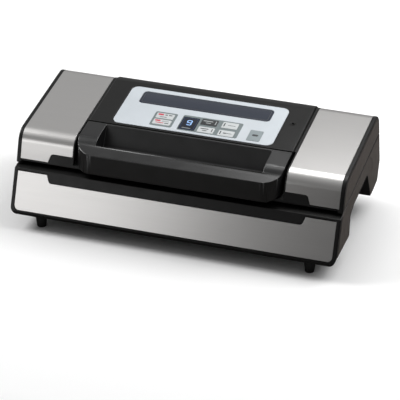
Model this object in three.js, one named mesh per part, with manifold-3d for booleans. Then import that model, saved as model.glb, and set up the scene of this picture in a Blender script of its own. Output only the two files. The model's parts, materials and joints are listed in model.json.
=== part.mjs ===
// Countertop vacuum sealer: a hinged lid with a press-down locking handle over a base that
// holds the sealing strip, the vacuum chamber, the bag-roll compartment and the pump.
// Millimetres. +X to the right, +Y to the back, +Z up. The origin is on the standing plane,
// in the middle of the footprint.
import * as THREE from "three";
import { mergeVertices } from "three/addons/utils/BufferGeometryUtils.js";
import Module from "manifold-3d";

const wasm = await Module();
wasm.setup();

// ---- Driving dimensions ----
const HALF_WIDTH = 200;
const FRAME_WIDTH = 4.5; // black frame round the steel faces
const FOOT_HEIGHT = 17.5;
const BOTTOM_CORNER = 8; // the base's bottom corners, seen from the front
const MIDDLE_Y = 101.99; // middle of the footprint, measured from the front
const GAP = 0.3; // between pieces that touch
const SHEET = 1; // steel sheet thickness
const WALL = 3; // moulded wall thickness
const DECK_TILT = THREE.MathUtils.degToRad(7);
const DECK_FRONT = { y: 38, z: 75 };
const SPLIT = 0.5; // half of the gap between base and lid
const PANEL_TILT = THREE.MathUtils.degToRad(6);
const PANEL_FRONT = { y: 51, z: 113 };
const CONSOLE_HALF = 126;
const CONSOLE_RISE = 3; // top of the console above the steel
const WRAP_INNER = 130; // inner edge of each steel wrap
const LOBE_INNER = 176; // inner face of the side lobes and hand grips
const FRONT_NOTCH = 160; // half width of the bag notch at its mouth
const HINGE = { y: 196.5, z: 93.6, radius: 3.6, bore: 1.9 };
const HANDLE_PIVOT = { y: 65.5, z: 108.2 };
const HANDLE_HALF = 126;
const HANDLE_ARM = 24; // width of each handle arm
const ROLL = { y: 151, z: 66, radius: 31 };
const ROLL_HALF = 152;
const LATCH = { x: 167, y: 60, z: 90 };
const FOOT = { x: 166, front: 15, rear: 176 };
const MOTOR = { y: 72, z: 42 };

// ---- Outlines: [y, z, corner radius] seen from the side ----
const LID_OUTLINE = [
  [27.2, 77.2, 1],
  [38.4, 76, 0],
  [194.9, 94.9, 0],
  [187.7, 127.4, 19],
  [38, 111.6, 20],
];
const LID_END_OUTLINE = [
  [26.2, 74.4, 1.5],
  [194.9, 94.9, 0],
  [187.7, 127.4, 19],
  [38, 111.6, 20],
];
const CONSOLE_OUTLINE = [...LID_OUTLINE.slice(0, 3), [187.7, 127.4, 23], LID_OUTLINE[4]];
const BASE_OUTLINE = [
  [-1.41, FOOT_HEIGHT, 4],
  [186, FOOT_HEIGHT, 8],
  [197, 34, 10],
  [204, 54, 14],
  [195.2, 93.8, 0],
  [38.4, 74.5, 0],
  [20.3, 71.2, 1.5],
];
const LOBE_OUTLINE = [
  [-1.41, FOOT_HEIGHT, 4],
  [52, FOOT_HEIGHT, 3],
  [62, 24, 3],
  [65, 53, 5],
  [82, 59, 6],
  [142, 65, 5],
  [162, 25, 3],
  [195, 30, 12],
  [204, 54, 14],
  [195.2, 93.8, 0],
  [20.8, 72.4, 1.5],
];
// Width of the black frame left round each side panel, edge by edge.
const LOBE_FRAME = [3, 1.2, 1.2, 1.2, 1.2, 1.2, 1.2, 1.2, 1.2, 0.9, FRAME_WIDTH];
const LID_FRAME = [0.9, 1.2, FRAME_WIDTH, FRAME_WIDTH];

// The handle as a solid bar, the bowl for the fingers cut into it, and the well it lies in.
const HANDLE_OUTLINE = [
  [16, 79.3, 1.5],
  [36, 84.5, 3],
  [50, 88.3, 4],
  [60, 88.3, 4],
  [75.9, 99.5, 0],
  [84.2, 109.4, 13.5], // round the pivot, so that it turns under the console's edge
  [74.8, 118.2, 0],
  [41, 114.6, 18],
  [33.5, 107.8, 16],
  [19.5, 103.6, 1.2],
];
const HANDLE_LEAN = Math.atan2(3.5, 24.3); // its front face leans back
const HANDLE_CORNER = 24;
const BOWL_OUTLINE = [
  [33.2, 107.8, 8],
  [56.5, 91.2, 6],
  [73, 118.5, 0],
  [73, 140, 0],
  [33.2, 140, 0],
];
const WELL_OUTLINE = [
  [4, 74, 0],
  [26, 80.3, 0],
  [36.4, 83.2, 0],
  [50, 87, 0],
  [61, 87, 0],
  [72, 91.5, 0],
  [80.3, 98.5, 0],
  [80.3, 140, 0],
  [4, 140, 0],
];

// ---- Materials ----
function plain(color, roughness, metalness = 0) {
  return new THREE.MeshStandardMaterial({ color, roughness, metalness });
}

const MATERIALS = {
  black: plain(0x1b1b1b, 0.45),
  charcoal: plain(0x55524e, 0.5),
  steel: plain(0xb9b6b0, 0.35, 0.9),
  silver: plain(0xcdd3da, 0.4, 0.2),
  smoked: plain(0x39424c, 0.1),
  display: plain(0x1a2340, 0.1),
  white: plain(0xf1f2f0, 0.5),
  grey: plain(0x9da5a8, 0.5),
  rubber: plain(0x202020, 0.9),
  gasket: plain(0x3a3a3a, 0.95),
  brown: plain(0x8a6a45, 0.7),
  metal: plain(0x9a9a9a, 0.4, 0.8),
  green: plain(0x1f5a35, 0.6),
  copper: plain(0x9a5a2c, 0.5, 0.5),
  natural: plain(0xd8d6cc, 0.5),
};

const model = new THREE.Group();
model.position.y = -MIDDLE_Y;

function addPart(name, material, geometry) {
  const mesh = new THREE.Mesh(geometry, MATERIALS[material].clone());
  mesh.name = name;
  model.add(mesh);
}

// ---- Joining and cutting ----
function solid(geometry) {
  const bare = geometry.index ? geometry.toNonIndexed() : geometry.clone();
  bare.deleteAttribute("normal");
  bare.deleteAttribute("uv");
  const merged = mergeVertices(bare, 1e-4);
  return new wasm.Manifold(
    new wasm.Mesh({
      numProp: 3,
      vertProperties: new Float32Array(merged.attributes.position.array),
      triVerts: new Uint32Array(merged.index.array),
    }),
  );
}

function geometryOf(manifold) {
  const mesh = manifold.getMesh();
  const geometry = new THREE.BufferGeometry();
  const position = new THREE.BufferAttribute(mesh.vertProperties, 3);
  geometry.setAttribute("position", position);
  geometry.setIndex(new THREE.BufferAttribute(mesh.triVerts, 1));
  geometry.computeVertexNormals();
  return geometry;
}

function join(...geometries) {
  return geometryOf(geometries.map(solid).reduce((a, b) => a.add(b)));
}

function cut(geometry, ...tools) {
  return geometryOf(tools.map(solid).reduce((a, b) => a.subtract(b), solid(geometry)));
}

function common(a, b) {
  return geometryOf(solid(a).intersect(solid(b)));
}

// ---- Outlines and prisms ----
function isConvex(previous, corner, next) {
  const ax = corner[0] - previous[0];
  const ay = corner[1] - previous[1];
  return ax * (next[1] - corner[1]) - ay * (next[0] - corner[0]) > 0;
}

function areaSign(corners) {
  const area = corners.reduce((sum, [a, b], i) => {
    const [c, d] = corners[(i + 1) % corners.length];
    return sum + a * d - c * b;
  }, 0);
  return Math.sign(area);
}

// The same outline with each edge moved inwards, by one distance or by one for each edge, and
// with its corner radii kept concentric.
function inset(corners, distance) {
  const sign = areaSign(corners);
  const count = corners.length;
  const edges = corners.map(([a, b], i) => {
    const [c, d] = corners[(i + 1) % count];
    const length = Math.hypot(c - a, d - b);
    const direction = [(c - a) / length, (d - b) / length];
    const moved = Array.isArray(distance) ? distance[i] : distance;
    const at = [a - direction[1] * moved * sign, b + direction[0] * moved * sign];
    return { at, direction, moved };
  });
  return corners.map(([, , radius], i) => {
    const before = edges[(i + count - 1) % count];
    const after = edges[i];
    const [px, py] = before.direction;
    const [qx, qy] = after.direction;
    const dx = after.at[0] - before.at[0];
    const dy = after.at[1] - before.at[1];
    const t = (dx * qy - dy * qx) / (px * qy - py * qx);
    const previous = corners[(i + count - 1) % count];
    const convex = isConvex(previous, corners[i], corners[(i + 1) % count]) === sign > 0;
    const change = ((before.moved + after.moved) / 2) * (convex ? 1 : -1);
    const rounded = radius > 0 ? Math.max(0, radius - change) : 0;
    return [before.at[0] + px * t, before.at[1] + py * t, rounded];
  });
}

// A closed shape through corners [a, b, radius], with an arc at each corner that has a radius.
function shapeOf(corners) {
  const points = [];
  corners.forEach(([a, b, radius], i) => {
    const corner = new THREE.Vector2(a, b);
    if (!radius) {
      points.push(corner);
      return;
    }
    const last = corners[(i + corners.length - 1) % corners.length];
    const next = corners[(i + 1) % corners.length];
    const back = new THREE.Vector2(last[0], last[1]).sub(corner).normalize();
    const ahead = new THREE.Vector2(next[0], next[1]).sub(corner).normalize();
    const half = Math.acos(THREE.MathUtils.clamp(back.dot(ahead), -1, 1)) / 2;
    const middle = back.clone().add(ahead).normalize();
    const centre = corner.clone().addScaledVector(middle, radius / Math.sin(half));
    const start = corner.clone().addScaledVector(back, radius / Math.tan(half)).sub(centre);
    const end = corner.clone().addScaledVector(ahead, radius / Math.tan(half)).sub(centre);
    const sweep = Math.atan2(start.cross(end), start.dot(end));
    const steps = Math.max(2, Math.ceil(Math.abs(sweep) / 0.33));
    for (let step = 0; step <= steps; step += 1) {
      const turned = start.clone().rotateAround(new THREE.Vector2(), (sweep * step) / steps);
      points.push(turned.add(centre));
    }
  });
  return new THREE.Shape(points);
}

function extrude(shape, depth) {
  return new THREE.ExtrudeGeometry(shape, { depth, bevelEnabled: false, curveSegments: 6 });
}

// A side outline [y, z, radius] extruded from x0 to x1.
function across(corners, x0, x1) {
  const sideways = new THREE.Matrix4().makeBasis(
    new THREE.Vector3(0, 1, 0),
    new THREE.Vector3(0, 0, 1),
    new THREE.Vector3(1, 0, 0),
  );
  return extrude(shapeOf(corners), x1 - x0).applyMatrix4(sideways).translate(x0, 0, 0);
}

// A front outline [x, z, radius] extruded from y0 to y1.
function through(corners, y0, y1) {
  return extrude(shapeOf(corners), y1 - y0).rotateX(Math.PI / 2).translate(0, y1, 0);
}

// A plan outline [x, y, radius] extruded from z0 to z1.
function upright(corners, z0, z1) {
  return extrude(shapeOf(corners), z1 - z0).translate(0, 0, z0);
}

function rectangle(x0, y0, x1, y1, radius = 0) {
  return [
    [x0, y0, radius],
    [x1, y0, radius],
    [x1, y1, radius],
    [x0, y1, radius],
  ];
}

function block(x0, x1, y0, y1, z0, z1) {
  return upright(rectangle(x0, y0, x1, y1), z0, z1);
}

// A plan frame between two rounded rectangles.
function ring(x, y0, y1, width, radius, z0, z1) {
  const outer = upright(rectangle(-x, y0, x, y1, radius), z0, z1);
  const inner = rectangle(-x + width, y0 + width, x - width, y1 - width, radius - width);
  return cut(outer, upright(inner, z0 - 1, z1 + 1));
}

function rod(radius, x0, x1, y, z, sides = 16) {
  const geometry = new THREE.CylinderGeometry(radius, radius, x1 - x0, sides);
  return geometry.rotateZ(Math.PI / 2).translate((x0 + x1) / 2, y, z);
}

function post(top, bottom, x, y, z0, z1, sides = 16) {
  const geometry = new THREE.CylinderGeometry(top, bottom, z1 - z0, sides);
  return geometry.rotateX(Math.PI / 2).translate(x, y, (z0 + z1) / 2);
}

// Deck frame: y runs back along the split between base and lid, z is square to it.
function onDeck(geometry) {
  return geometry.rotateX(DECK_TILT).translate(0, DECK_FRONT.y, DECK_FRONT.z);
}

// Panel frame: y runs back along the top of the lid, z is square to it.
function onPanel(geometry) {
  return geometry.rotateX(PANEL_TILT).translate(0, PANEL_FRONT.y, PANEL_FRONT.z);
}

const SIDES = [
  ["left", -1],
  ["right", 1],
];

// x0 to x1 on the right, and its mirror image on the left.
function span(sign, x0, x1) {
  return sign > 0 ? [x0, x1] : [-x1, -x0];
}

// ---- Features that several pieces share ----
const DECK = {
  bar: { half: 153, front: -2, back: 6 },
  gasket: { half: 161, front: 10, back: 64, width: 5, radius: 12 },
  chamber: { half: 150, front: 18, back: 56, depth: 12 },
  tray: { half: 116, front: 20, back: 54, depth: 10 },
  rail: { front: 67, back: 74 },
};
const WINDOW = { half: 82, front: 77, back: 103 };
const KEYS = [
  ["key_bag_dry", "white", -51.5, -29.5, 51, 62],
  ["key_bag_moist", "white", -51.5, -29.5, 38, 49],
  ["key_seal_only", "smoked", 4.5, 24.5, 51, 63.5],
  ["key_pressure", "white", 5, 25, 35.4, 47],
  ["key_marinate", "white", 30.3, 49.7, 51, 63.5],
  ["key_canister", "white", 30.3, 49.7, 34.6, 46.4],
  ["key_start", "grey", 66.2, 82, 34, 56],
];
const DISPLAY = { left: -18.5, right: 1.6, front: 36, back: 62 };
const PORT = { x: 110, y: 81 };

function wrapBand(sign, depth, x0, x1, low) {
  const [a, b] = span(sign, x0, x1);
  const band = cut(
    across(inset(LID_OUTLINE, depth[0]), a, b),
    across(inset(LID_OUTLINE, depth[1]), a - 1, b + 1),
    block(a - 1, b + 1, 0, 60, 60, low),
    onDeck(block(a - 1, b + 1, -20, 170, -20, low - 75.8)),
  );
  return cut(band, through(lidNotch(low - 80), 0, 60));
}

// The bag notch in the front of the lid's steel, as seen from the front.
function lidNotch(margin) {
  return [
    [-FRONT_NOTCH - 2 - margin, 76, 0],
    [FRONT_NOTCH + 2 + margin, 76, 0],
    [FRONT_NOTCH - 3 + margin, 90 + margin, 4],
    [-FRONT_NOTCH + 3 - margin, 90 + margin, 4],
  ];
}

// ---- Base ----
function baseHousing() {
  const front = [
    [-4, 24.1, 0],
    [2.85, 24.1, 0],
    [20.75, 68.3, 0],
    [14, 71, 0],
  ];
  const panelRecess = cut(
    across(front, -HALF_WIDTH + FRAME_WIDTH, HALF_WIDTH - FRAME_WIDTH),
    through(baseNotch(-GAP), -10, 40),
  );
  const cavity = [
    [10, FOOT_HEIGHT - 2, 0],
    [183, FOOT_HEIGHT - 2, 0],
    [196, 44, 0],
    [199, 56, 0],
    [196, 70, 0],
    [110, 65.5, 0],
    [24, 56, 0],
    [10, 24, 0],
  ];
  const { bar, gasket, chamber } = DECK;
  let shell = join(
    across(BASE_OUTLINE, -LOBE_INNER - 1, LOBE_INNER + 1),
    ...SIDES.map(([, sign]) => across(LOBE_OUTLINE, ...span(sign, LOBE_INNER, HALF_WIDTH))),
  );
  shell = cut(
    common(shell, bottomCorners()),
    // The rims pinch in only over the last few millimetres at each end.
    ...SIDES.map(([, sign]) => throatRelief(sign)),
    across(cavity, -LOBE_INNER + WALL, LOBE_INNER - WALL),
    panelRecess,
    block(-ROLL_HALF - WALL, ROLL_HALF + WALL, 117, 185, 24, 100),
    onDeck(block(-bar.half, bar.half, bar.front, bar.back, -6, 5)),
    onDeck(ring(gasket.half, gasket.front, gasket.back, gasket.width, gasket.radius, -5, 5)),
    onDeck(upright(rectangle(-chamber.half, chamber.front, chamber.half, chamber.back, 8), -chamber.depth, 5)),
    onDeck(block(-158, 158, DECK.rail.front, DECK.rail.back, -4, 5)),
    onDeck(post(4, 4, -132, 37, -30, 5, 12)),
    ...SIDES.flatMap(([, sign]) => [
      sideRecess(LOBE_OUTLINE, LOBE_FRAME, sign),
      latchSlot(sign),
      hingePocket(sign, 82, 100),
    ]),
    through(rectangle(116, 37, 144, 55, 3), 170, 215),
  );
  return shell;
}

// The base seen from the front, with its bottom corners rounded.
function bottomCorners() {
  const outline = [
    [-HALF_WIDTH, FOOT_HEIGHT, BOTTOM_CORNER],
    [HALF_WIDTH, FOOT_HEIGHT, BOTTOM_CORNER],
    [HALF_WIDTH, 120, 0],
    [-HALF_WIDTH, 120, 0],
  ];
  return through(outline, -20, 230);
}

function throatRelief(sign) {
  const [a, b] = span(sign, LOBE_INNER - 2, HALF_WIDTH - 6);
  const wedge = [
    [10, 71.3, 0],
    [20.3, 71.3, 0],
    [38.4, 74.5, 0],
    [30, 90, 0],
    [10, 90, 0],
  ];
  return across(wedge, a, b);
}

// A recess in one end for a side panel, grown by the gap round the panel.
function sideRecess(outline, edges, sign) {
  const grown = edges.map((edge) => edge - GAP);
  return across(inset(outline, grown), ...span(sign, HALF_WIDTH - 2.8, HALF_WIDTH + 1));
}

function latchSlot(sign) {
  const [a, b] = span(sign, LATCH.x - 4, LATCH.x + 4);
  return onDeck(block(a, b, 0, 18, -20, 5));
}

function hingePocket(sign, z0, z1) {
  const [a, b] = span(sign, 98, 128.5);
  return block(a, b, 189, 206, z0, z1);
}

// The bag notch in the front of the base's steel, as seen from the front.
function baseNotch(margin) {
  return [
    [-155 - margin, 59 - margin, 4],
    [155 + margin, 59 - margin, 4],
    [FRONT_NOTCH + margin, 72, 0],
    [-FRONT_NOTCH - margin, 72, 0],
  ];
}

function baseFrontPanel() {
  const sheet = [
    [1.55, 24.4, 0],
    [2.6, 24.4, 0],
    [20.25, 68, 0],
    [19.2, 68, 0],
  ];
  const edge = HALF_WIDTH - FRAME_WIDTH - GAP;
  const plate = [
    [-edge, 20, 8],
    [edge, 20, 8],
    [edge, 80, 0],
    [-edge, 80, 0],
  ];
  return cut(common(across(sheet, -edge, edge), through(plate, -10, 40)), through(baseNotch(0), -10, 40));
}

function bottomCover() {
  const plate = upright(rectangle(-172.5, 10.5, 172.5, 182.5, 6), FOOT_HEIGHT + 0.2, FOOT_HEIGHT + 2.7);
  // Pads that the pump, motor, transformer and power board stand on.
  const pads = [
    [-110, -74, 48, 94],
    [-52, -6, 60, 84],
    [82, 124, 44, 96],
    [12, 66, 38, 100],
  ].map(([x0, x1, y0, y1]) => block(x0, x1, y0, y1, FOOT_HEIGHT + 2, FOOT_HEIGHT + 5.2));
  const slots = [-2, -1, 0, 1, 2].map((i) => {
    const x = -60 + i * 9;
    return upright(rectangle(x - 2, 50, x + 2, 92, 1.9), 10, 30);
  });
  const screwHoles = SCREWS.map(([x, y]) => post(2.6, 2.6, x, y, 10, 30, 10));
  return cut(join(plate, ...pads), ...slots, ...screwHoles);
}

const SCREWS = [
  [-150, 30],
  [150, 30],
  [-150, 172],
  [150, 172],
];

function sidePanel(outline, edges, sign) {
  const panel = across(inset(outline, edges), ...span(sign, HALF_WIDTH - 2.5, HALF_WIDTH - 0.2));
  return outline === LOBE_OUTLINE ? common(panel, bottomCorners()) : panel;
}

function rollTrough() {
  const { y, z, radius } = ROLL;
  const bowl = (r, low) => [
    [y - r, 110, 0],
    [y - r, z - r + low, r - low - 0.1],
    [y + r, z - r + low, r - low - 0.1],
    [y + r, 110, 0],
  ];
  const outer = across(bowl(radius + 2, 0), -ROLL_HALF - 2, ROLL_HALF + 2);
  const hollow = across(bowl(radius, 0), -ROLL_HALF, ROLL_HALF);
  return cut(outer, hollow, onDeck(block(-200, 200, 0, 200, -SPLIT - 0.2, 60)));
}

function dripTray() {
  const { half, front, back, depth } = DECK.tray;
  const tub = upright(rectangle(-half, front, half, back, 6), -depth - 1.7, -2);
  const hollow = upright(rectangle(-half + 1.5, front + 1.5, half - 1.5, back - 1.5, 4.5), -depth, 5);
  return onDeck(cut(tub, hollow));
}

function cutterRail() {
  const { front, back } = DECK.rail;
  const rail = block(-157.7, 157.7, front + GAP, back - GAP, -3.7, -0.7);
  const groove = block(-150, 150, front + 2.2, back - 2.2, -2.4, 5);
  return onDeck(cut(rail, groove));
}

function cutterSlider() {
  const { front, back } = DECK.rail;
  const middle = (front + back) / 2;
  const knob = upright(rectangle(-148, middle - 5, -128, middle + 5, 3), -0.3, 3.2);
  const tongue = block(-146, -130, middle - 0.9, middle + 0.9, -2, 0);
  return onDeck(join(knob, tongue));
}

function pumpBody() {
  return join(
    block(-112, -72, 44, 98, 23.2, 54),
    block(-106, -80, 50, 92, 53, 57.5),
    rod(12, -73, -68, MOTOR.y, MOTOR.z, 20),
    rod(3.5, -120, -111, 80, 40, 12),
  );
}

function pumpMotor() {
  return join(
    rod(16, -56, -6, MOTOR.y, MOTOR.z, 24),
    rod(6, -6.5, -2, MOTOR.y, MOTOR.z, 12),
    block(-50, -12, MOTOR.y - 14, MOTOR.y + 14, 23.2, 30),
  );
}

function pumpCrank() {
  return join(
    rod(10, -66.5, -62, MOTOR.y, MOTOR.z, 20),
    rod(3, -63, -56.6, MOTOR.y, MOTOR.z, 12),
    rod(2, -67.4, -62, MOTOR.y, MOTOR.z + 6, 10),
  );
}

function transformer() {
  return join(
    block(78, 128, 48, 92, 23.2, 50),
    block(86, 120, 40, 100, 28, 54.5),
    block(82, 124, 54, 86, 49, 56),
  );
}

function powerBoard() {
  return join(
    block(8, 70, 34, 104, 25, 26.6),
    block(14, 32, 44, 60, 26, 40),
    post(6, 6, 52, 50, 26, 44, 12),
    post(4.5, 4.5, 52, 68, 26, 40, 12),
    block(14, 40, 78, 96, 26, 36),
  );
}

function airHose() {
  const route = new THREE.CatmullRomCurve3([
    new THREE.Vector3(-120.6, 80, 40),
    new THREE.Vector3(-127, 79.5, 40.6),
    new THREE.Vector3(-131.4, 77.6, 45),
    new THREE.Vector3(-132, 75.8, 52.4),
  ]);
  const round = new THREE.Shape().absarc(0, 0, 3.5, 0, Math.PI * 2);
  return new THREE.ExtrudeGeometry(round, { steps: 10, curveSegments: 4, extrudePath: route });
}

function airNozzle() {
  const flange = post(7, 7, -132, 37, -DECK.chamber.depth + 0.3, -DECK.chamber.depth + 2.3, 20);
  const stem = post(3.6, 3.6, -132, 37, -21, -DECK.chamber.depth + 5.5, 12);
  const bore = post(1.6, 1.6, -132, 37, -30, 5, 8);
  return onDeck(cut(join(flange, stem), bore));
}

function powerInlet() {
  const body = through(rectangle(116.4, 37.4, 143.6, 54.6, 2.6), 184, 200.6);
  const socket = through(rectangle(120, 41, 140, 51, 4.8), 188, 206);
  return cut(body, socket);
}

function foot(x, y) {
  return post(7.5, 5.5, x, y, 0, FOOT_HEIGHT - 0.2, 20);
}

function latchCatch(sign) {
  const [a, b] = span(sign, LATCH.x - 3.7, LATCH.x + 3.7);
  return onDeck(block(a, b, 14, 17.7, -15, -9));
}

function hingeLeaf(sign, spans, plate) {
  const { y, z, radius, bore } = HINGE;
  const knuckles = spans.map(([x0, x1]) => rod(radius, ...span(sign, x0, x1), y, z));
  return cut(join(...knuckles, ...plate), rod(bore, ...span(sign, 90, 140), y, z, 12));
}

function hingeBaseLeaf(sign) {
  const spans = [
    [100, 106],
    [120, 126],
  ];
  const ears = spans.map(([x0, x1]) => block(...span(sign, x0, x1), 190, 198, 84, HINGE.z - 2.5));
  return hingeLeaf(sign, spans, [block(...span(sign, 100, 126), 189.4, 192, 82.4, 89), ...ears]);
}

function hingeLidLeaf(sign) {
  const [a, b] = span(sign, 107, 119);
  const ear = block(a, b, 190, 197, HINGE.z + 2.4, 104);
  return hingeLeaf(sign, [[107, 119]], [block(a, b, 189.4, 191.6, 96, 105.4), ear]);
}

function hingePin(sign) {
  const { y, z, bore } = HINGE;
  const head = rod(2.8, ...span(sign, 126.4, 127.4), y, z, 12);
  return join(rod(bore - GAP, ...span(sign, 100, 127), y, z, 12), head);
}

function screw(x, y) {
  const head = post(4.4, 4.4, x, y, FOOT_HEIGHT - 1.6, FOOT_HEIGHT - 0.1, 16);
  const shank = post(1.8, 1.8, x, y, FOOT_HEIGHT - 0.2, FOOT_HEIGHT + 2.4, 8);
  const slot = block(x - 3, x + 3, y - 0.5, y + 0.5, FOOT_HEIGHT - 2, FOOT_HEIGHT - 1);
  return cut(join(head, shank), slot);
}

// ---- Lid ----
function lidShell() {
  const ends = SIDES.map(([, sign]) => across(LID_END_OUTLINE, ...span(sign, HALF_WIDTH - 6, HALF_WIDTH)));
  const body = join(across(LID_OUTLINE, -HALF_WIDTH + 5, HALF_WIDTH - 5), ...ends);
  const steelRecess = SIDES.map(([, sign]) =>
    wrapBand(sign, [-2, SHEET + GAP], WRAP_INNER, HALF_WIDTH - FRAME_WIDTH, 80 - GAP),
  );
  const hollow = inset(LID_OUTLINE, WALL + SHEET + GAP);
  const wellWall = inset(WELL_OUTLINE, -2.6);
  const interior = cut(
    join(
      across(hollow, -HALF_WIDTH + 6, HALF_WIDTH - 6),
      onDeck(block(-HALF_WIDTH + 6, HALF_WIDTH - 6, -6.2, 152, -3, 12)),
    ),
    across(wellWall, -HANDLE_HALF - 5.5, HANDLE_HALF + 5.5),
  );
  return cut(
    body,
    interior,
    ...steelRecess,
    across(WELL_OUTLINE, -HANDLE_HALF - 2.5, HANDLE_HALF + 2.5),
    consoleSeat(),
    onPanel(block(-WINDOW.half - 3, WINDOW.half + 3, WINDOW.front - 3, WINDOW.back + 3, -20, 5)),
    onPanel(block(-60, 90, 32, 68, -20, 5)),
    onPanel(post(5, 5, PORT.x, PORT.y, -20, 5, 12)),
    rod(3.2, -HANDLE_HALF - 5, HANDLE_HALF + 5, HANDLE_PIVOT.y, HANDLE_PIVOT.z, 12),
    ...SIDES.flatMap(([, sign]) => [
      sideRecess(LID_END_OUTLINE, LID_FRAME, sign),
      hingePocket(sign, 88, 108),
    ]),
  );
}

// The console wraps over the top and part of the back, 3 mm proud of the steel.
function consoleBand(outline, outside, inside, half, front) {
  return cut(
    across(inset(outline, outside), -half, half),
    across(inset(LID_OUTLINE, inside), -half - 1, half + 1),
    block(-200, 200, -20, front, 0, 200),
    block(-200, 200, 0, 210, 0, 106),
  );
}

function consoleSeat() {
  return consoleBand(LID_OUTLINE, -8, 1.4, CONSOLE_HALF + GAP, 74.6);
}

function consoleCover() {
  const shell = consoleBand(CONSOLE_OUTLINE, -CONSOLE_RISE, 1.1, CONSOLE_HALF, 74.9);
  const keyHoles = KEYS.map(([, , x0, x1, y0, y1]) =>
    onPanel(upright(rectangle(x0 - 0.4, y0 - 0.4, x1 + 0.4, y1 + 0.4, 1.6), -10, 10)),
  );
  const { left, right, front, back } = DISPLAY;
  return cut(
    shell,
    rod(14.1, -CONSOLE_HALF - 1, CONSOLE_HALF + 1, HANDLE_PIVOT.y, HANDLE_PIVOT.z, 64),
    onPanel(overlayPlate(GAP, CONSOLE_RISE - 1.2, 12)),
    onPanel(block(-WINDOW.half + 1, WINDOW.half - 1, WINDOW.front + 1, WINDOW.back - 1, -10, 10)),
    onPanel(block(left - 0.4, right + 0.4, front - 0.4, back + 0.4, -10, 10)),
    onPanel(post(2.8, 2.8, PORT.x, PORT.y, -10, 10, 16)),
    ...keyHoles,
  );
}

function overlayPlate(margin, z0, z1) {
  return upright(rectangle(-98.8 - margin, 29.6 - margin, 98.8 + margin, 110.6 + margin, 9), z0, z1);
}

function controlOverlay() {
  const { left, right, front, back } = DISPLAY;
  const keyHoles = KEYS.map(([, , x0, x1, y0, y1]) =>
    upright(rectangle(x0 - 0.3, y0 - 0.3, x1 + 0.3, y1 + 0.3, 1.5), 0, 10),
  );
  const plate = cut(
    overlayPlate(0, CONSOLE_RISE - 0.9, CONSOLE_RISE + 0.2),
    upright(rectangle(-WINDOW.half, WINDOW.front, WINDOW.half, WINDOW.back, 5), 0, 10),
    upright(rectangle(left - 0.3, front - 0.3, right + 0.3, back + 0.3, 1.2), 0, 10),
    ...keyHoles,
  );
  return onPanel(plate);
}

function rollWindow() {
  const { half, front, back } = WINDOW;
  const edge = rectangle(-half + GAP, front + GAP, half - GAP, back - GAP, 4.7);
  return onPanel(upright(edge, CONSOLE_RISE - 0.9, CONSOLE_RISE + 0.1));
}

function displayLens() {
  const { left, right, front, back } = DISPLAY;
  return onPanel(upright(rectangle(left, front, right, back, 1), -1.5, CONSOLE_RISE + 0.3));
}

function keyCap(x0, x1, y0, y1) {
  const cap = upright(rectangle(x0, y0, x1, y1, 1.2), 0, CONSOLE_RISE + 0.6);
  return onPanel(cap);
}

function controlBoard() {
  const board = block(-56, 88, 34, 66, -7, -5.4);
  const switches = KEYS.map(([, , x0, x1, y0, y1]) => {
    const x = (x0 + x1) / 2;
    const y = (y0 + y1) / 2;
    return post(2.2, 2.2, x, y, -6, -0.8, 8);
  });
  return onPanel(join(board, block(-16, -1, 38, 60, -6, -2), ...switches));
}

function accessoryPort() {
  const tube = post(2.4, 2.4, PORT.x, PORT.y, -14, CONSOLE_RISE + 0.4, 20);
  const flange = post(4.4, 4.4, PORT.x, PORT.y, -3.4, -1.6, 20);
  return onPanel(cut(join(tube, flange), post(1.3, 1.3, PORT.x, PORT.y, -20, 10, 10)));
}

function lidLiner() {
  const { bar, gasket } = DECK;
  const slab = upright(rectangle(-193.5, 2, 193.5, 151, 3), SPLIT + 0.2, 5.5);
  const wall = block(-155, 155, 76, 78.5, 5, 22);
  const lip = block(-193.5, 193.5, -5.8, 2.4, SPLIT + 1.2, 4.6);
  const grooves = [
    block(-bar.half, bar.half, bar.front + 0.6, bar.back - 0.6, 0, 4),
    ring(gasket.half, gasket.front, gasket.back, gasket.width, gasket.radius, 0, 4),
    block(-153, 153, DECK.rail.front - 3, DECK.rail.back + 1.5, 0, 4.2),
    block(-151, 151, 79, 146, 0, 10),
  ];
  const slots = SIDES.map(([, sign]) => block(...span(sign, LATCH.x - 4, LATCH.x + 4), 0, 24, 0, 10));
  return cut(onDeck(cut(join(slab, wall, lip), ...grooves, ...slots)), ...SIDES.map(([, sign]) => hingePocket(sign, 80, 108)));
}

function latchHook(sign) {
  const [a, b] = span(sign, LATCH.x - 2, LATCH.x + 2);
  const blade = [
    [56, 92, 0],
    [63.5, 92, 0],
    [63.5, 87, 0],
    [53, 80, 0],
    [49.5, 66.5, 0],
    [51.6, 63.6, 0],
    [46.5, 62.4, 1],
    [45.2, 66, 0],
    [48.5, 82, 0],
  ];
  return across(blade, a, b);
}

function handle() {
  const inner = HANDLE_HALF - HANDLE_ARM;
  const [frontY, frontZ] = HANDLE_OUTLINE[0];
  const plan = [
    [-HANDLE_HALF, 0, HANDLE_CORNER],
    [HANDLE_HALF, 0, HANDLE_CORNER],
    [HANDLE_HALF, 90, 0],
    [-HANDLE_HALF, 90, 0],
  ];
  const leaning = upright(plan, -20, 60).rotateX(-HANDLE_LEAN).translate(0, frontY - 0.02, frontZ);
  const bar = common(across(HANDLE_OUTLINE, -HANDLE_HALF, HANDLE_HALF), leaning);
  const trunnions = rod(2.8, -HANDLE_HALF - 4, HANDLE_HALF + 4, HANDLE_PIVOT.y, HANDLE_PIVOT.z, 12);
  const scoop = across(BOWL_OUTLINE, -inner, inner);
  const drawnBack = across(inset(BOWL_OUTLINE, -3), -inner - 3, inner + 3);
  return join(cut(bar, scoop), cut(trunnions, drawnBack));
}

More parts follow.
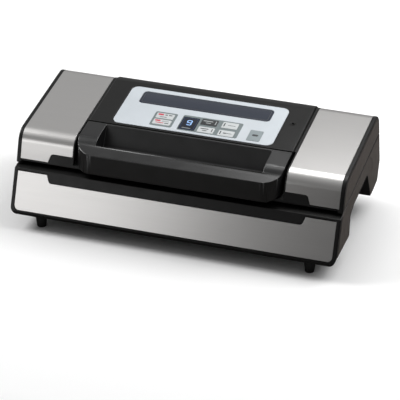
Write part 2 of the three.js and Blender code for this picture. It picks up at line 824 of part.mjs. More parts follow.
// ---- Assembly ----
addPart("base_housing", "black", baseHousing());
addPart("bottom_cover", "black", bottomCover());
addPart("base_front_panel", "steel", baseFrontPanel());
addPart("roll_trough", "black", rollTrough());
addPart("drip_tray", "charcoal", dripTray());
addPart("lower_gasket", "gasket", onDeck(ring(160.6, 10.4, 63.6, 4.2, 11.6, -4.6, 0.2)));
addPart("seal_bar", "natural", onDeck(block(-152.5, 152.5, -1.6, 5.6, -5.6, 0)));
addPart("sealing_tape", "brown", onDeck(block(-152, 152, -1, 5, 0.3, 0.6)));
addPart("cutter_rail", "black", cutterRail());
addPart("cutter_slider", "grey", cutterSlider());
addPart("air_nozzle", "charcoal", airNozzle());
addPart("air_hose", "natural", airHose());
addPart("pump_body", "charcoal", pumpBody());
addPart("pump_motor", "metal", pumpMotor());
addPart("pump_crank", "metal", pumpCrank());
addPart("transformer", "copper", transformer());
addPart("power_board", "green", powerBoard());
addPart("power_inlet", "black", powerInlet());
addPart("lid_shell", "black", lidShell());
addPart("console", "black", consoleCover());
addPart("control_overlay", "silver", controlOverlay());
addPart("roll_window", "smoked", rollWindow());
addPart("display_lens", "display", displayLens());
addPart("control_board", "green", controlBoard());
addPart("accessory_port", "black", accessoryPort());
addPart("lid_liner", "black", lidLiner());
addPart("upper_gasket", "gasket", onDeck(ring(160.6, 10.4, 63.6, 4.2, 11.6, 0.6, 3.7)));
addPart("pressure_strip", "rubber", onDeck(block(-152.5, 152.5, -1, 5, 0.95, 3.7)));
addPart("handle", "black", handle());

KEYS.forEach(([name, material, x0, x1, y0, y1]) => addPart(name, material, keyCap(x0, x1, y0, y1)));

SIDES.forEach(([side, sign]) => {
  addPart("base_side_panel_" + side, "charcoal", sidePanel(LOBE_OUTLINE, LOBE_FRAME, sign));
  addPart("lid_side_panel_" + side, "charcoal", sidePanel(LID_END_OUTLINE, LID_FRAME, sign));
  const wrap = wrapBand(sign, [0.2, SHEET], WRAP_INNER + GAP, HALF_WIDTH - FRAME_WIDTH - GAP, 80);
  addPart("steel_wrap_" + side, "steel", wrap);
  addPart("latch_catch_" + side, "metal", latchCatch(sign));
  addPart("latch_hook_" + side, "metal", latchHook(sign));
  addPart("hinge_base_leaf_" + side, "metal", hingeBaseLeaf(sign));
  addPart("hinge_lid_leaf_" + side, "metal", hingeLidLeaf(sign));
  addPart("hinge_pin_" + side, "metal", hingePin(sign));
  addPart("foot_front_" + side, "rubber", foot(sign * FOOT.x, FOOT.front));
  addPart("foot_rear_" + side, "rubber", foot(sign * FOOT.x, FOOT.rear));
});

SCREWS.forEach(([x, y], i) => addPart("cover_screw_" + (i + 1), "metal", screw(x, y)));

export default model;
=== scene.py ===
"""Looks for the countertop vacuum sealer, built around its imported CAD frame.

Shapes are written in millimetres in the front frame: X to the right, Y back from the front edge,
Z up from the standing plane. Two tilted frames carry what lies along the split between base and
lid (deck) and what lies on the lid's top (panel). Meshes are in metres, in the row frame.
"""
import json
import math

import bmesh
import bpy
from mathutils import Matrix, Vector

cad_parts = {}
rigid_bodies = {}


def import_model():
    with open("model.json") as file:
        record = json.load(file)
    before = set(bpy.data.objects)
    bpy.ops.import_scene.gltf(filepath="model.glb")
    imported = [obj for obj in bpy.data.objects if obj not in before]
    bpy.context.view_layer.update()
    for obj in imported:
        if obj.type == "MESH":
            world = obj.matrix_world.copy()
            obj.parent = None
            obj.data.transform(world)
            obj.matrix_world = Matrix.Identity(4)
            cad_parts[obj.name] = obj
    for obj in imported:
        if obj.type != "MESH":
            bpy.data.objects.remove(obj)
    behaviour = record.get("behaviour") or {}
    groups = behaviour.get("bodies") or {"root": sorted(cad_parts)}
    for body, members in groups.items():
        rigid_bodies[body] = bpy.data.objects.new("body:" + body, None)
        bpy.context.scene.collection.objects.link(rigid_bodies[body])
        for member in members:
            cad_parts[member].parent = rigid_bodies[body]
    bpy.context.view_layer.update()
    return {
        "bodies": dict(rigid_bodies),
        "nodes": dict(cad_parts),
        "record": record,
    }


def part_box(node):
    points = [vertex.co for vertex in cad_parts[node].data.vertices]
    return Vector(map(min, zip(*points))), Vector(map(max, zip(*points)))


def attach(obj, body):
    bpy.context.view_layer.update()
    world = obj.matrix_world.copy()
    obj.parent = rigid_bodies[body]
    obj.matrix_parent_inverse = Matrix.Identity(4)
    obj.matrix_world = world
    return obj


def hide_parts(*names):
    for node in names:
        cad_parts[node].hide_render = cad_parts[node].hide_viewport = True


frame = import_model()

MM = 0.001

# ---- Driving dimensions: the CAD's, but for BOTTOM_CORNER and CONSOLE_TOP ----
HALF_WIDTH = round(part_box("base_housing")[1].x / MM, 2)
FOOT_Y = 15  # middle of the front feet, back from the front edge
FOOT_LOW, FOOT_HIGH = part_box("foot_front_left")
FRONT_Y = (FOOT_LOW.y + FOOT_HIGH.y) / 2 / MM - FOOT_Y  # the front frame's origin, in the row frame
FOOT_HEIGHT = 17.5
BOTTOM_CORNER = 12  # seen from the front, and rounder than the CAD's
FRAME_WIDTH = 4.5  # black frame round the steel faces
GAP = 0.3
HAIR = 0.05  # keeps the faces of a solid and its tool apart
SHEET = 1
WALL = 3
DECK_ORIGIN, DECK_TILT = (38, 75), math.radians(7)
PANEL_ORIGIN, PANEL_TILT = (51, 113), math.radians(6)
CONSOLE_HALF = 126
CONSOLE_FRONT = 74.9
CONSOLE_RISE = 3
CONSOLE_TOP = 2.85  # its shell above the steel, a hair lower than in the CAD
WRAP_INNER = 130
LINER_HALF = 193.5
LOBE_INNER = 176
FRONT_NOTCH = 160
HINGE_Y, HINGE_Z, HINGE_RADIUS, HINGE_BORE = 196.5, 93.6, 3.6, 1.9
HINGE_ENDS = [(100, 106), (120, 126)]  # the lower leaf's knuckles, along X
HINGE_MIDDLE = (107, 119)  # the upper leaf's
HANDLE_HALF = 126
HANDLE_ARM = 24
PIVOT_Y, PIVOT_Z = 65.5, 108.2
ROLL_Y, ROLL_Z, ROLL_RADIUS, ROLL_HALF = 151, 66, 31, 152
LATCH_X = 167
LATCH_SLOT = 4  # half of the width cut for it
TRUNNION_RADIUS = 2.8

# ---- Side outlines: (y, z, corner radius) ----
LID_TOP = [(187.7, 127.4, 19), (38, 111.6, 20)]
LID_OUTLINE = [(27.2, 77.2, 1), (38.4, 76, 0), (194.9, 94.9, 0), *LID_TOP]
LID_END_OUTLINE = [(26.2, 74.4, 1.5), (194.9, 94.9, 0), *LID_TOP]
CONSOLE_OUTLINE = [*LID_OUTLINE[:3], (187.7, 127.4, 23), LID_OUTLINE[4]]
BASE_OUTLINE = [
    (-1.41, FOOT_HEIGHT, 4.1), (186, FOOT_HEIGHT, 8), (195, 30, 6), (203.45, 54, 14),
    (195.2, 93.8, 0), (38.4, 74.5, 0), (20.3, 71.2, 1.5),
]
LOBE_OUTLINE = [
    (-1.41, FOOT_HEIGHT, 4.1), (52, FOOT_HEIGHT, 3), (62, 24, 3), (65, 53, 5), (82, 59, 6),
    (142, 65, 5), (162, 25, 3), (195, 30, 12), (203.45, 54, 14), (195.2, 93.8, 0),
    (20.785, 72.4, 1.5),
]
# An inset for each edge: this one grows the edges that the lobes share with the base.
LOBE_SHARED = [-2, 0, 0, 0, 0, 0, 0, -2, -2, -2, -2]
LOBE_FRAME = [1.2] * 9 + [0.9, 8.5]
LID_FRAME = [0.9, 1.2, 6.5, 7]
HANDLE_OUTLINE = [
    (16, 79.3, 1.5), (36, 84.5, 3), (50, 88.3, 4), (60, 88.3, 4), (75.9, 99.5, 0),
    (84.2, 109.4, 13.5), (74.8, 118.2, 0), (41, 114.6, 18), (33.5, 107.8, 16), (19.5, 103.6, 1.2),
]
HANDLE_LEAN = math.atan2(3.5, 24.3)  # its front face leans back
HANDLE_CORNER = 24
BOWL_OUTLINE = [(33.2, 107.8, 8), (56.5, 91.2, 6), (73, 118.5, 0), (73, 140, 0), (33.2, 140, 0)]
WELL_OUTLINE = [
    (4, 74, 0), (26, 80.3, 0), (36.4, 83.2, 0), (50, 87, 0), (61, 87, 0), (72, 91.5, 0),
    (80.3, 98.5, 0), (80.3, 140, 0), (4, 140, 0),
]
CAVITY_OUTLINE = [
    (10, 18, 0), (183, 18, 0), (196, 44, 0), (199, 56, 0), (196, 70, 0), (110, 65.5, 0),
    (24, 56, 0), (10, 24, 0),
]


# ---- Places: (a, b) on an outline and c along its depth, to the front frame ----
def side(a, b, c):
    return c, a, b


def front(a, b, c):
    return a, c, b


def plan(a, b, c):
    return a, b, c


def tilted(origin, tilt):
    def place(a, b, c):
        y = origin[0] + b * math.cos(tilt) - c * math.sin(tilt)
        return a, y, origin[1] + b * math.sin(tilt) + c * math.cos(tilt)
    return place


deck = tilted(DECK_ORIGIN, DECK_TILT)
panel = tilted(PANEL_ORIGIN, PANEL_TILT)


def deck_side(a, b, c):
    return deck(c, a, b)


def tilted_box(node, origin, tilt):
    """A flat CAD piece's x0, x1, b0, b1, c0, c1 in a tilted frame, worked out from its box."""
    low, high = (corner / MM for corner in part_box(node))
    y0, y1 = (corner.y - FRONT_Y - origin[0] for corner in (low, high))
    z0, z1 = (corner.z - origin[1] for corner in (low, high))
    sine, cosine = math.sin(tilt), math.cos(tilt)
    p, q = cosine, sine * sine / cosine
    low_sum = z0 - sine * y0 / cosine
    high_sum = z1 - sine * y1 / cosine
    c0 = (p * low_sum - q * high_sum) / (p * p - q * q)
    c1 = (p * high_sum - q * low_sum) / (p * p - q * q)
    return low.x, high.x, (y0 + c1 * sine) / cosine, (y1 + c0 * sine) / cosine, c0, c1


def deck_box(node):
    return tilted_box(node, DECK_ORIGIN, DECK_TILT)


def panel_box(node):
    return tilted_box(node, PANEL_ORIGIN, PANEL_TILT)


# ---- Outlines ----
ARC_TURN = math.radians(5)  # most turn in one step of an arc
ARC_CHORD = 0.45  # and most length
SHARP_TURN = math.radians(32)  # edges that turn more are rounded, or shaded as sharp
SPIKE_TURN = math.radians(40)
FLAT_TURN = math.radians(0.2)
RIM_STEPS = 4
LARGE_RIM = 3  # from this radius up, a rim has three times as many steps
LARGE_FACE = 16  # corners
WELD = 1e-7  # metres


def area_sign(corners):
    pairs = zip(corners, corners[1:] + corners[:1])
    return math.copysign(1, sum(p[0] * q[1] - q[0] * p[1] for p, q in pairs))


def arc_of(corners, index):
    """A corner, the unit directions back and ahead of it, and half of the angle between them."""
    corner = Vector(corners[index][:2])
    back = (Vector(corners[index - 1][:2]) - corner).normalized()
    ahead = (Vector(corners[(index + 1) % len(corners)][:2]) - corner).normalized()
    return corner, back, ahead, math.acos(max(-1, min(1, back.dot(ahead)))) / 2


def arc_counts(corners):
    counts = []
    for index, (_, _, radius) in enumerate(corners):
        sweep = math.pi - 2 * arc_of(corners, index)[3]
        steps = min(math.ceil(sweep / ARC_TURN), math.ceil(radius * sweep / ARC_CHORD))
        counts.append(max(2, steps) if radius else 0)
    return counts


def rounded(corners, counts=None):
    """Points round an outline, with an arc at each corner that has a radius."""
    points = []
    for index, count in enumerate(counts or arc_counts(corners)):
        corner, back, ahead, half = arc_of(corners, index)
        radius = corners[index][2]
        if not count:
            points.append(corner)
            continue
        centre = corner + (back + ahead).normalized() * (radius / math.sin(half))
        start = corner + back * (radius / math.tan(half)) - centre
        end = corner + ahead * (radius / math.tan(half)) - centre
        sweep = math.atan2(start.x * end.y - start.y * end.x, start.dot(end))
        for step in range(count + 1):
            turn = sweep * step / count
            x = start.x * math.cos(turn) - start.y * math.sin(turn)
            y = start.x * math.sin(turn) + start.y * math.cos(turn)
            points.append(centre + Vector((x, y)))
    return points


def inset(corners, distance):
    """The outline with each edge moved inwards, by one distance or by one for each edge."""
    sign = area_sign(corners)
    edges = []
    for index, (a, b, _) in enumerate(corners):
        ahead = arc_of(corners, index)[2]
        moved = distance[index] if isinstance(distance, list) else distance
        edges.append((a - ahead.y * moved * sign, b + ahead.x * moved * sign, ahead, moved))
    result = []
    for index, (_, _, radius) in enumerate(corners):
        ax, ay, p, before = edges[index - 1]
        bx, by, q, after = edges[index]
        turn = p.x * q.y - p.y * q.x
        t = ((bx - ax) * q.y - (by - ay) * q.x) / turn
        change = (before + after) / 2 * (1 if turn * sign > 0 else -1)
        result.append((ax + p.x * t, ay + p.y * t, max(0.02, radius - change) if radius else 0))
    return result


def rectangle(x0, y0, x1, y1, radius=0):
    return [(x0, y0, radius), (x1, y0, radius), (x1, y1, radius), (x0, y1, radius)]


# ---- Solids ----
def mesh_object(rings, closed=False):
    """A skin over rings of points in the front frame, with end faces or closed in a loop."""
    shape = bmesh.new()
    grid = []
    for ring in rings:
        grid.append([shape.verts.new(Vector((x, y + FRONT_Y, z)) * MM) for x, y, z in ring])
    neighbours = zip(grid, grid[1:] + grid[:1]) if closed else zip(grid, grid[1:])
    for lower, upper in neighbours:
        for index in range(len(lower)):
            ahead = (index + 1) % len(lower)
            shape.faces.new((lower[index], lower[ahead], upper[ahead], upper[index]))
    if not closed:
        shape.faces.new(grid[0])
        shape.faces.new(grid[-1])
    bmesh.ops.remove_doubles(shape, verts=shape.verts, dist=WELD)
    bmesh.ops.recalc_face_normals(shape, faces=shape.faces)
    mesh = bpy.data.meshes.new("solid")
    shape.to_mesh(mesh)
    shape.free()
    made = bpy.data.objects.new("solid", mesh)
    bpy.context.scene.collection.objects.link(made)
    return made


def loft(place, corners, section, closed=False):
    """An outline at each (inset, depth) of a section, skinned."""
    counts = arc_counts(corners)
    rings = []
    for distance, depth in section:
        points = rounded(inset(corners, distance) if distance else corners, counts)
        rings.append([place(point.x, point.y, depth) for point in points])
    return mesh_object(rings, closed)


def rim_section(low, high, rim_low, rim_high):
    """(inset, depth) from low to high with a quarter-round rim at each end."""
    section = []
    for rim, end, inwards in ((rim_low, low, 1), (rim_high, high, -1)):
        steps = (RIM_STEPS if rim < LARGE_RIM else 3 * RIM_STEPS) if rim else 0
        turns = [math.pi / 2 * step / steps for step in range(steps + 1)] if steps else [0]
        arc = []
        for turn in turns:
            arc.append((rim * (1 - math.sin(turn)), end + inwards * rim * (1 - math.cos(turn))))
        section += arc[::inwards]
    return section


def slab(place, corners, low, high, rim_low=0, rim_high=None):
    rim_high = rim_low if rim_high is None else rim_high
    return loft(place, corners, rim_section(low, high, rim_low, rim_high))


def block(place, x0, x1, y0, y1, z0, z1, radius=0, rim=0):
    return slab(place, rectangle(x0, y0, x1, y1, radius), z0, z1, rim)


def turned(place, a, b, profile, sides=40, closed=False):
    """A profile of (radius, depth) turned about the line at (a, b)."""
    angles = [2 * math.pi * step / sides for step in range(sides)]
    rings = []
    for radius, depth in profile:
        ring = [(a + radius * math.cos(angle), b + radius * math.sin(angle)) for angle in angles]
        rings.append([place(*point, depth) for point in ring])
    return mesh_object(rings, closed)


def rod(radius, x0, x1, y, z, chamfer=0):
    profile = [(radius, x0), (radius, x1)]
    if chamfer:
        tip = radius - chamfer
        profile = [(tip, x0), (radius, x0 + chamfer), (radius, x1 - chamfer), (tip, x1)]
    return turned(side, y, z, profile)


def combine(base, tools, operation):
    for tool in tools:
        step = base.modifiers.new("step", "BOOLEAN")
        step.operation = operation
        step.solver = "EXACT"
        step.object = tool
    bpy.context.view_layer.update()
    evaluated = base.evaluated_get(bpy.context.evaluated_depsgraph_get())
    mesh = bpy.data.meshes.new_from_object(evaluated)
    shape = bmesh.new()
    shape.from_mesh(mesh)
    bmesh.ops.dissolve_limit(shape, angle_limit=FLAT_TURN, verts=shape.verts, edges=shape.edges)
    shape.to_mesh(mesh)
    shape.free()
    base.modifiers.clear()
    old = base.data
    base.data = mesh
    bpy.data.meshes.remove(old)
    for tool in tools:
        data = tool.data
        bpy.data.objects.remove(tool)
        bpy.data.meshes.remove(data)
    return base


def split_large_faces(made):
    """Splits faces with many notches, so that bevelling them fills none of the notches."""
    shape = bmesh.new()
    shape.from_mesh(made.data)
    large = [face for face in shape.faces if len(face.verts) > LARGE_FACE]
    bmesh.ops.triangulate(shape, faces=large)
    shape.to_mesh(made.data)
    shape.free()
    return made


def cut(base, *tools):
    return combine(base, tools, "DIFFERENCE")


def join(base, *others):
    return combine(base, others, "UNION")


def common(base, other):
    return combine(base, [other], "INTERSECT")


SIDES = [("left", -1), ("right", 1)]


def span(sign, x0, x1):
    """x0 to x1 on the right, and its mirror image on the left."""
    return (x0, x1) if sign > 0 else (-x1, -x0)


def outer_rim(sign, rim):
    """A rim on the outer end only of a piece that span() placed."""
    return (0, rim) if sign > 0 else (rim, 0)


# ---- Materials ----
def look(name, color, roughness, **sockets):
    material = bpy.data.materials.new(name)
    material.use_nodes = True
    shader = material.node_tree.nodes["Principled BSDF"]
    shader.inputs["Base Color"].default_value = (*color, 1)
    shader.inputs["Roughness"].default_value = roughness
    for socket, value in sockets.items():
        shader.inputs[socket.replace("_", " ")].default_value = value
    return material


NOISE_LOW, NOISE_HIGH = 0.3, 0.7  # where most of a noise texture's values lie


def texture(material, scale, stretch=(1, 1, 1), detail=2):
    """Noise over the piece's own coordinates: scale is in features per metre."""
    tree = material.node_tree
    place = tree.nodes.new("ShaderNodeTexCoord")
    mapping = tree.nodes.new("ShaderNodeMapping")
    noise = tree.nodes.new("ShaderNodeTexNoise")
    mapping.inputs["Scale"].default_value = stretch
    noise.inputs["Scale"].default_value = scale
    noise.inputs["Detail"].default_value = detail
    tree.links.new(place.outputs["Object"], mapping.inputs["Vector"])
    tree.links.new(mapping.outputs["Vector"], noise.inputs["Vector"])
    return noise.outputs["Fac"]


def vary_roughness(material, source, low, high):
    tree = material.node_tree
    spread = tree.nodes.new("ShaderNodeMapRange")
    spread.inputs["From Min"].default_value = NOISE_LOW
    spread.inputs["From Max"].default_value = NOISE_HIGH
    spread.inputs["To Min"].default_value = low
    spread.inputs["To Max"].default_value = high
    tree.links.new(source, spread.inputs["Value"])
    tree.links.new(spread.outputs["Result"], tree.nodes["Principled BSDF"].inputs["Roughness"])


def vary_color(material, source, dark, light):
    tree = material.node_tree
    ramp = tree.nodes.new("ShaderNodeValToRGB")
    ramp.color_ramp.elements[0].position = NOISE_LOW
    ramp.color_ramp.elements[1].position = NOISE_HIGH
    ramp.color_ramp.elements[0].color = (*dark, 1)
    ramp.color_ramp.elements[1].color = (*light, 1)
    tree.links.new(source, ramp.inputs["Fac"])
    tree.links.new(ramp.outputs["Color"], tree.nodes["Principled BSDF"].inputs["Base Color"])


def add_bump(material, source, strength, height):
    """Bump from a source, its full height in millimetres."""
    tree = material.node_tree
    bump = tree.nodes.new("ShaderNodeBump")
    bump.inputs["Strength"].default_value = strength
    bump.inputs["Distance"].default_value = height * MM
    tree.links.new(source, bump.inputs["Height"])
    tree.links.new(bump.outputs["Normal"], tree.nodes["Principled BSDF"].inputs["Normal"])


def shade(color, factor):
    return tuple(channel * factor for channel in color)


def moulded(name, color, roughness, grain=1100, relief=0.05, spread=0.04, **sockets):
    """Moulded plastic: a fine spark texture, with slow changes of tone and gloss."""
    material = look(name, color, roughness, **sockets)
    add_bump(material, texture(material, grain), 0.5, relief)
    vary_roughness(material, texture(material, 60), roughness - spread, roughness + spread)
    vary_color(material, texture(material, 25, detail=4), shade(color, 0.96), shade(color, 1.04))
    return material


STREAKS, BANDS = (14, 2600, 2600), (12, 1500, 1500)  # features per metre along X, Y and Z


def brushed(name, color, roughness, spread=0.025):
    """Sheet metal brushed along X."""
    material = look(name, color, roughness, Metallic=1)
    streaks = texture(material, 1, STREAKS, 3)
    add_bump(material, streaks, 0.05, 0.002)
    bands = texture(material, 1, BANDS, 3)
    vary_color(material, bands, shade(color, 0.985), shade(color, 1.015))
    vary_roughness(material, streaks, roughness - spread, roughness + spread)
    return material


def glowing(name, color, strength):
    material = look(name, shade(color, 0.3), 0.4, Emission_Strength=strength)
    material.node_tree.nodes["Principled BSDF"].inputs["Emission Color"].default_value = (*color, 1)
    add_bump(material, texture(material, 900), 0.1, 0.01)
    return material


def matt(name, color, roughness, specular, *grain):
    """Moulded plastic that mirrors a little less or more than most."""
    return moulded(name, color, roughness, *grain, Specular_IOR_Level=specular)


LOOKS = {
    "black_plastic": matt("black_plastic", (0.0036, 0.0035, 0.0034), 0.36, 0.31),
    "charcoal_plastic": matt("charcoal_plastic", (0.066, 0.056, 0.050), 0.5, 0.3),
    "brushed_steel": brushed("brushed_steel", (0.62, 0.61, 0.60), 0.3),
    "silver_overlay": moulded("silver_overlay", (0.47, 0.505, 0.535), 0.36, 1500, 0.01),
    "smoked_window": moulded("smoked_window", (0.022, 0.027, 0.040), 0.14, 300, 0.004, 0.02),
    "display_glass": moulded("display_glass", (0.006, 0.008, 0.016), 0.12, 300, 0.003, 0.02),
    "white_key": moulded("white_key", (0.47, 0.49, 0.495), 0.42, relief=0.02),
    "dark_key": moulded("dark_key", (0.02, 0.022, 0.024), 0.4, relief=0.02),
    "grey_key": moulded("grey_key", (0.215, 0.25, 0.26), 0.42, relief=0.02),
    "foot_rubber": matt("foot_rubber", (0.008, 0.008, 0.008), 0.75, 0.3, 800, 0.08),
    "gasket_foam": matt("gasket_foam", (0.02, 0.02, 0.021), 0.85, 0.25, 1600, 0.2),
    "sealing_tape": moulded("sealing_tape", (0.20, 0.12, 0.06), 0.45, 1800, 0.05),
    "zinc_steel": brushed("zinc_steel", (0.50, 0.50, 0.51), 0.38),
    "iron_core": moulded("iron_core", (0.06, 0.045, 0.035), 0.55, 500, 0.1),
    "circuit_board": moulded("circuit_board", (0.01, 0.06, 0.025), 0.4, 700, 0.03),
    "natural_plastic": moulded("natural_plastic", (0.45, 0.44, 0.40), 0.45, 900, 0.04),
}
# Finishes of single pieces.
PRINTS = {
    "print_backing": moulded("print_backing", (0.14, 0.168, 0.172), 0.4, 1500, 0.01),
    "print_dark": moulded("print_dark", (0.03, 0.033, 0.036), 0.45, 1500, 0.01),
    "print_light": moulded("print_light", (0.30, 0.32, 0.32), 0.45, 1500, 0.01),
    "print_red": moulded("print_red", (0.46, 0.02, 0.05), 0.45, 1500, 0.01),
    "digit_glow": glowing("digit_glow", (0.30, 0.50, 0.85), 0.95),
    "digit_dim": moulded("digit_dim", (0.02, 0.05, 0.13), 0.25, 900, 0.01),
    "satin_black": matt("satin_black", (0.003, 0.003, 0.0033), 0.33, 0.66, 1500, 0.01, 0.03),
    "brass": brushed("brass", (0.62, 0.48, 0.25), 0.3),
    "heater_wire": brushed("heater_wire", (0.45, 0.42, 0.40), 0.35),
}


# ---- Pieces ----
def crowded(edge, corner, sharp):
    """Whether another sharp edge leaves a corner almost along this one: a bevel would spike."""
    along = edge.other_vert(corner).co - corner.co
    for other in corner.link_edges:
        if other != edge and other in sharp:
            if along.angle(other.other_vert(corner).co - corner.co, 0) < SPIKE_TURN:
                return True
    return False


def soften(made, width):
    """Small rounded edges where faces meet at a sharp angle."""
    shape = bmesh.new()
    shape.from_mesh(made.data)
    weights = shape.edges.layers.float.new("bevel_weight_edge")
    sharp = set()
    for edge in shape.edges:
        if edge.is_manifold and edge.calc_face_angle() > SHARP_TURN:
            sharp.add(edge)
    for edge in sharp:
        clear = not any(crowded(edge, vert, sharp) for vert in edge.verts)
        if clear and edge.calc_length() > width * MM / 2:
            edge[weights] = 1
    shape.to_mesh(made.data)
    shape.free()
    edges = made.modifiers.new("edges", "BEVEL")
    edges.width = width * MM
    edges.segments = 3
    edges.limit_method = "WEIGHT"
    edges.use_clamp_overlap = False
    edges.loop_slide = False
    normals = made.modifiers.new("normals", "WEIGHTED_NORMAL")
    normals.keep_sharp = True
    normals.weight = 80


def piece(made, name, body, slot, *nodes, edge=0, finish=None):
    """Names a solid, gives it its material, and lets it ride a body in place of CAD nodes."""
    made.name = name
    made.data.name = name
    made.data.materials.clear()
    made.data.materials.append(finish or LOOKS[slot])
    made.data.shade_smooth()
    if edge:
        soften(made, edge)
    else:
        made.data.set_sharp_from_angle(angle=SHARP_TURN)
    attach(made, body)
    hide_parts(*nodes)


# ---- Features that several pieces share ----
BAR = deck_box("seal_bar")
RAIL = deck_box("cutter_rail")
GASKET = deck_box("lower_gasket")
GASKET_WIDTH, GASKET_CORNER = 4.2, 11.6
CHAMBER = rectangle(-150, 18, 150, 56, 8)
CHAMBER_DEPTH = 12
NOZZLE = (-132, 37)
INLET = [116, 37, 144, 55]
WINDOW = panel_box("roll_window")
DISPLAY = panel_box("display_lens")
OVERLAY = panel_box("control_overlay")
KEYS = [name for name in frame["bodies"] if name.startswith("key_")]
PORT = panel_box("accessory_port")
PORT_X, PORT_S = (PORT[0] + PORT[1]) / 2, 81
OVERLAY_TOP = CONSOLE_RISE - 0.1
WINDOW_TOP = OVERLAY_TOP - 0.05
DISPLAY_TOP = OVERLAY_TOP + 0.1
KEY_TOP = CONSOLE_RISE + 0.2
KEY_CORNER, KEY_GAP = 1.2, 0.15
PRINT_DEPTH = 0.2
# From where to where tools reach: through the top, and along Y.
THROUGH_LID, THROUGH_CONSOLE, THROUGH_OVERLAY = (-20, 5), (-10, 10), (0, 10)
FRONT_DEPTH, WHOLE_DEPTH = (-10, 40), (-20, 230)


def deck_block(x0, x1, u0, u1, w0, w1, radius=0):
    return block(deck, x0, x1, u0, u1, w0, w1, radius)


def grown(box, margin):
    """The x0, x1, s0, s1 of a flat piece, with a margin all round."""
    x0, x1, s0, s1 = box[:4]
    return x0 - margin, x1 + margin, s0 - margin, s1 + margin


def gasket_ring(grow, low, high):
    x0, x1, u0, u1, _, _ = GASKET
    corners = rectangle(x0, u0, x1, u1, GASKET_CORNER)
    inner = GASKET_WIDTH + grow
    section = [(-grow, low), (-grow, high), (inner, high), (inner, low)]
    return loft(deck, corners, section, closed=True)


def base_notch(margin):
    return [
        (-155 - margin, 59 - margin, 4), (155 + margin, 59 - margin, 4),
        (FRONT_NOTCH + margin, 72, 0), (-FRONT_NOTCH - margin, 72, 0),
    ]


def lid_notch(margin):
    return [
        (-FRONT_NOTCH - 2 - margin, 76, 0), (FRONT_NOTCH + 2 + margin, 76, 0),
        (FRONT_NOTCH - 3 + margin, 90 + margin, 4), (-FRONT_NOTCH + 3 - margin, 90 + margin, 4),
    ]


def wrap_band(sign, outside, inside, x0, x1, low):
    a, b = span(sign, x0, x1)
    return cut(
        slab(side, inset(LID_OUTLINE, outside), a, b),
        slab(side, inset(LID_OUTLINE, inside), a - 1, b + 1),
        block(plan, a - 1, b + 1, 0, 60, 60, low),
        deck_block(a - 1, b + 1, -20, 170, -20, low - 75.8),
        slab(front, lid_notch(low - 80), 0, 60),
    )


def side_recess(outline, edges, sign):
    around = [edge - GAP for edge in edges]
    return slab(side, inset(outline, around), *span(sign, HALF_WIDTH - 2.8, HALF_WIDTH + 1))


def hinge_pocket(sign, z0, z1, deeper=0):
    return block(plan, *span(sign, 98, 128.5), 189 - deeper, 206, z0, z1)


def latch_slot(sign, length, low, high):
    return deck_block(*span(sign, LATCH_X - LATCH_SLOT, LATCH_X + LATCH_SLOT), 0, length, low, high)


# ---- Base ----
def bottom_corners():
    """The base seen from the front, with its bottom corners rounded."""
    edge, low = HALF_WIDTH + HAIR, FOOT_HEIGHT - HAIR
    lower = [(-edge, low, BOTTOM_CORNER), (edge, low, BOTTOM_CORNER)]
    return slab(front, [*lower, (edge, 120, 0), (-edge, 120, 0)], *WHOLE_DEPTH)


def base_body():
    recess_outline = [(-4, 24.1, 0), (2.85, 24.1, 0), (20.75, 68.3, 0), (14, 71, 0)]
    edge = HALF_WIDTH - FRAME_WIDTH
    recess = slab(side, recess_outline, -edge, edge)
    recess = common(recess, slab(front, plate_outline(edge, 24), *FRONT_DEPTH))
    panel_recess = cut(recess, slab(front, base_notch(-GAP), *FRONT_DEPTH))
    relief = [(10, 71.3, 0), (20.3, 71.3, 0), (38.4, 74.5, 0), (30, 90, 0), (10, 90, 0)]
    # At the ends, what lies beyond the lobes' outline is cut away.
    around = []
    lobe = inset(LOBE_OUTLINE, LOBE_SHARED)
    for _, sign in SIDES:
        end = block(side, *WHOLE_DEPTH, 0, 120, *span(sign, LOBE_INNER, HALF_WIDTH + 1))
        around.append(cut(end, slab(side, lobe, *span(sign, LOBE_INNER - 1, HALF_WIDTH + 2))))
    body = cut(slab(side, BASE_OUTLINE, -HALF_WIDTH + HAIR, HALF_WIDTH - HAIR, 1), *around)
    tools = [
        slab(side, CAVITY_OUTLINE, -LOBE_INNER + WALL, LOBE_INNER - WALL),
        panel_recess,
        block(plan, -ROLL_HALF - WALL, ROLL_HALF + WALL, 117, 185, 24, 100),
        deck_block(BAR[0] - 0.5, BAR[1] + 0.5, BAR[2] - 0.4, BAR[3] + 0.4, -6, 5),
        gasket_ring(0.4, -5, 5),
        slab(deck, CHAMBER, -CHAMBER_DEPTH, 5, 3, 0),
        deck_block(-158, 158, RAIL[2] - GAP, RAIL[3] + GAP, -4, 5),
        turned(deck, *NOZZLE, [(4, -30), (4, 5)], 32),
        slab(front, rectangle(*INLET, 3), 170, 215),
    ]
    for _, sign in SIDES:
        tools.append(slab(side, relief, *span(sign, LOBE_INNER - 2, HALF_WIDTH - 6)))
        tools.append(side_recess(LOBE_OUTLINE, LOBE_FRAME, sign))
        tools.append(latch_slot(sign, 18, -20, 5))
        tools.append(hinge_pocket(sign, 82, 100))
    body = cut(common(body, bottom_corners()), *tools)
    piece(body, "base_body", "base", "black_plastic", "base_housing", edge=0.5)


def plate_outline(edge, low):
    """The front plate's outline, with its bottom corners rounded."""
    return [(-edge, low, 6), (edge, low, 6), (edge, 80, 0), (-edge, 80, 0)]


def base_front():
    sheet = [(1.55, 24.4, 0), (2.6, 24.4, 0), (20.25, 68, 0), (19.2, 68, 0)]
    edge = HALF_WIDTH - FRAME_WIDTH - GAP
    outline = slab(front, plate_outline(edge, 24 + GAP), *FRONT_DEPTH)
    plate = common(slab(side, sheet, -edge, edge), outline)
    plate = cut(plate, slab(front, base_notch(0), *FRONT_DEPTH))
    piece(plate, "base_front_plate", "base", "brushed_steel", "base_front_panel", edge=0.2)


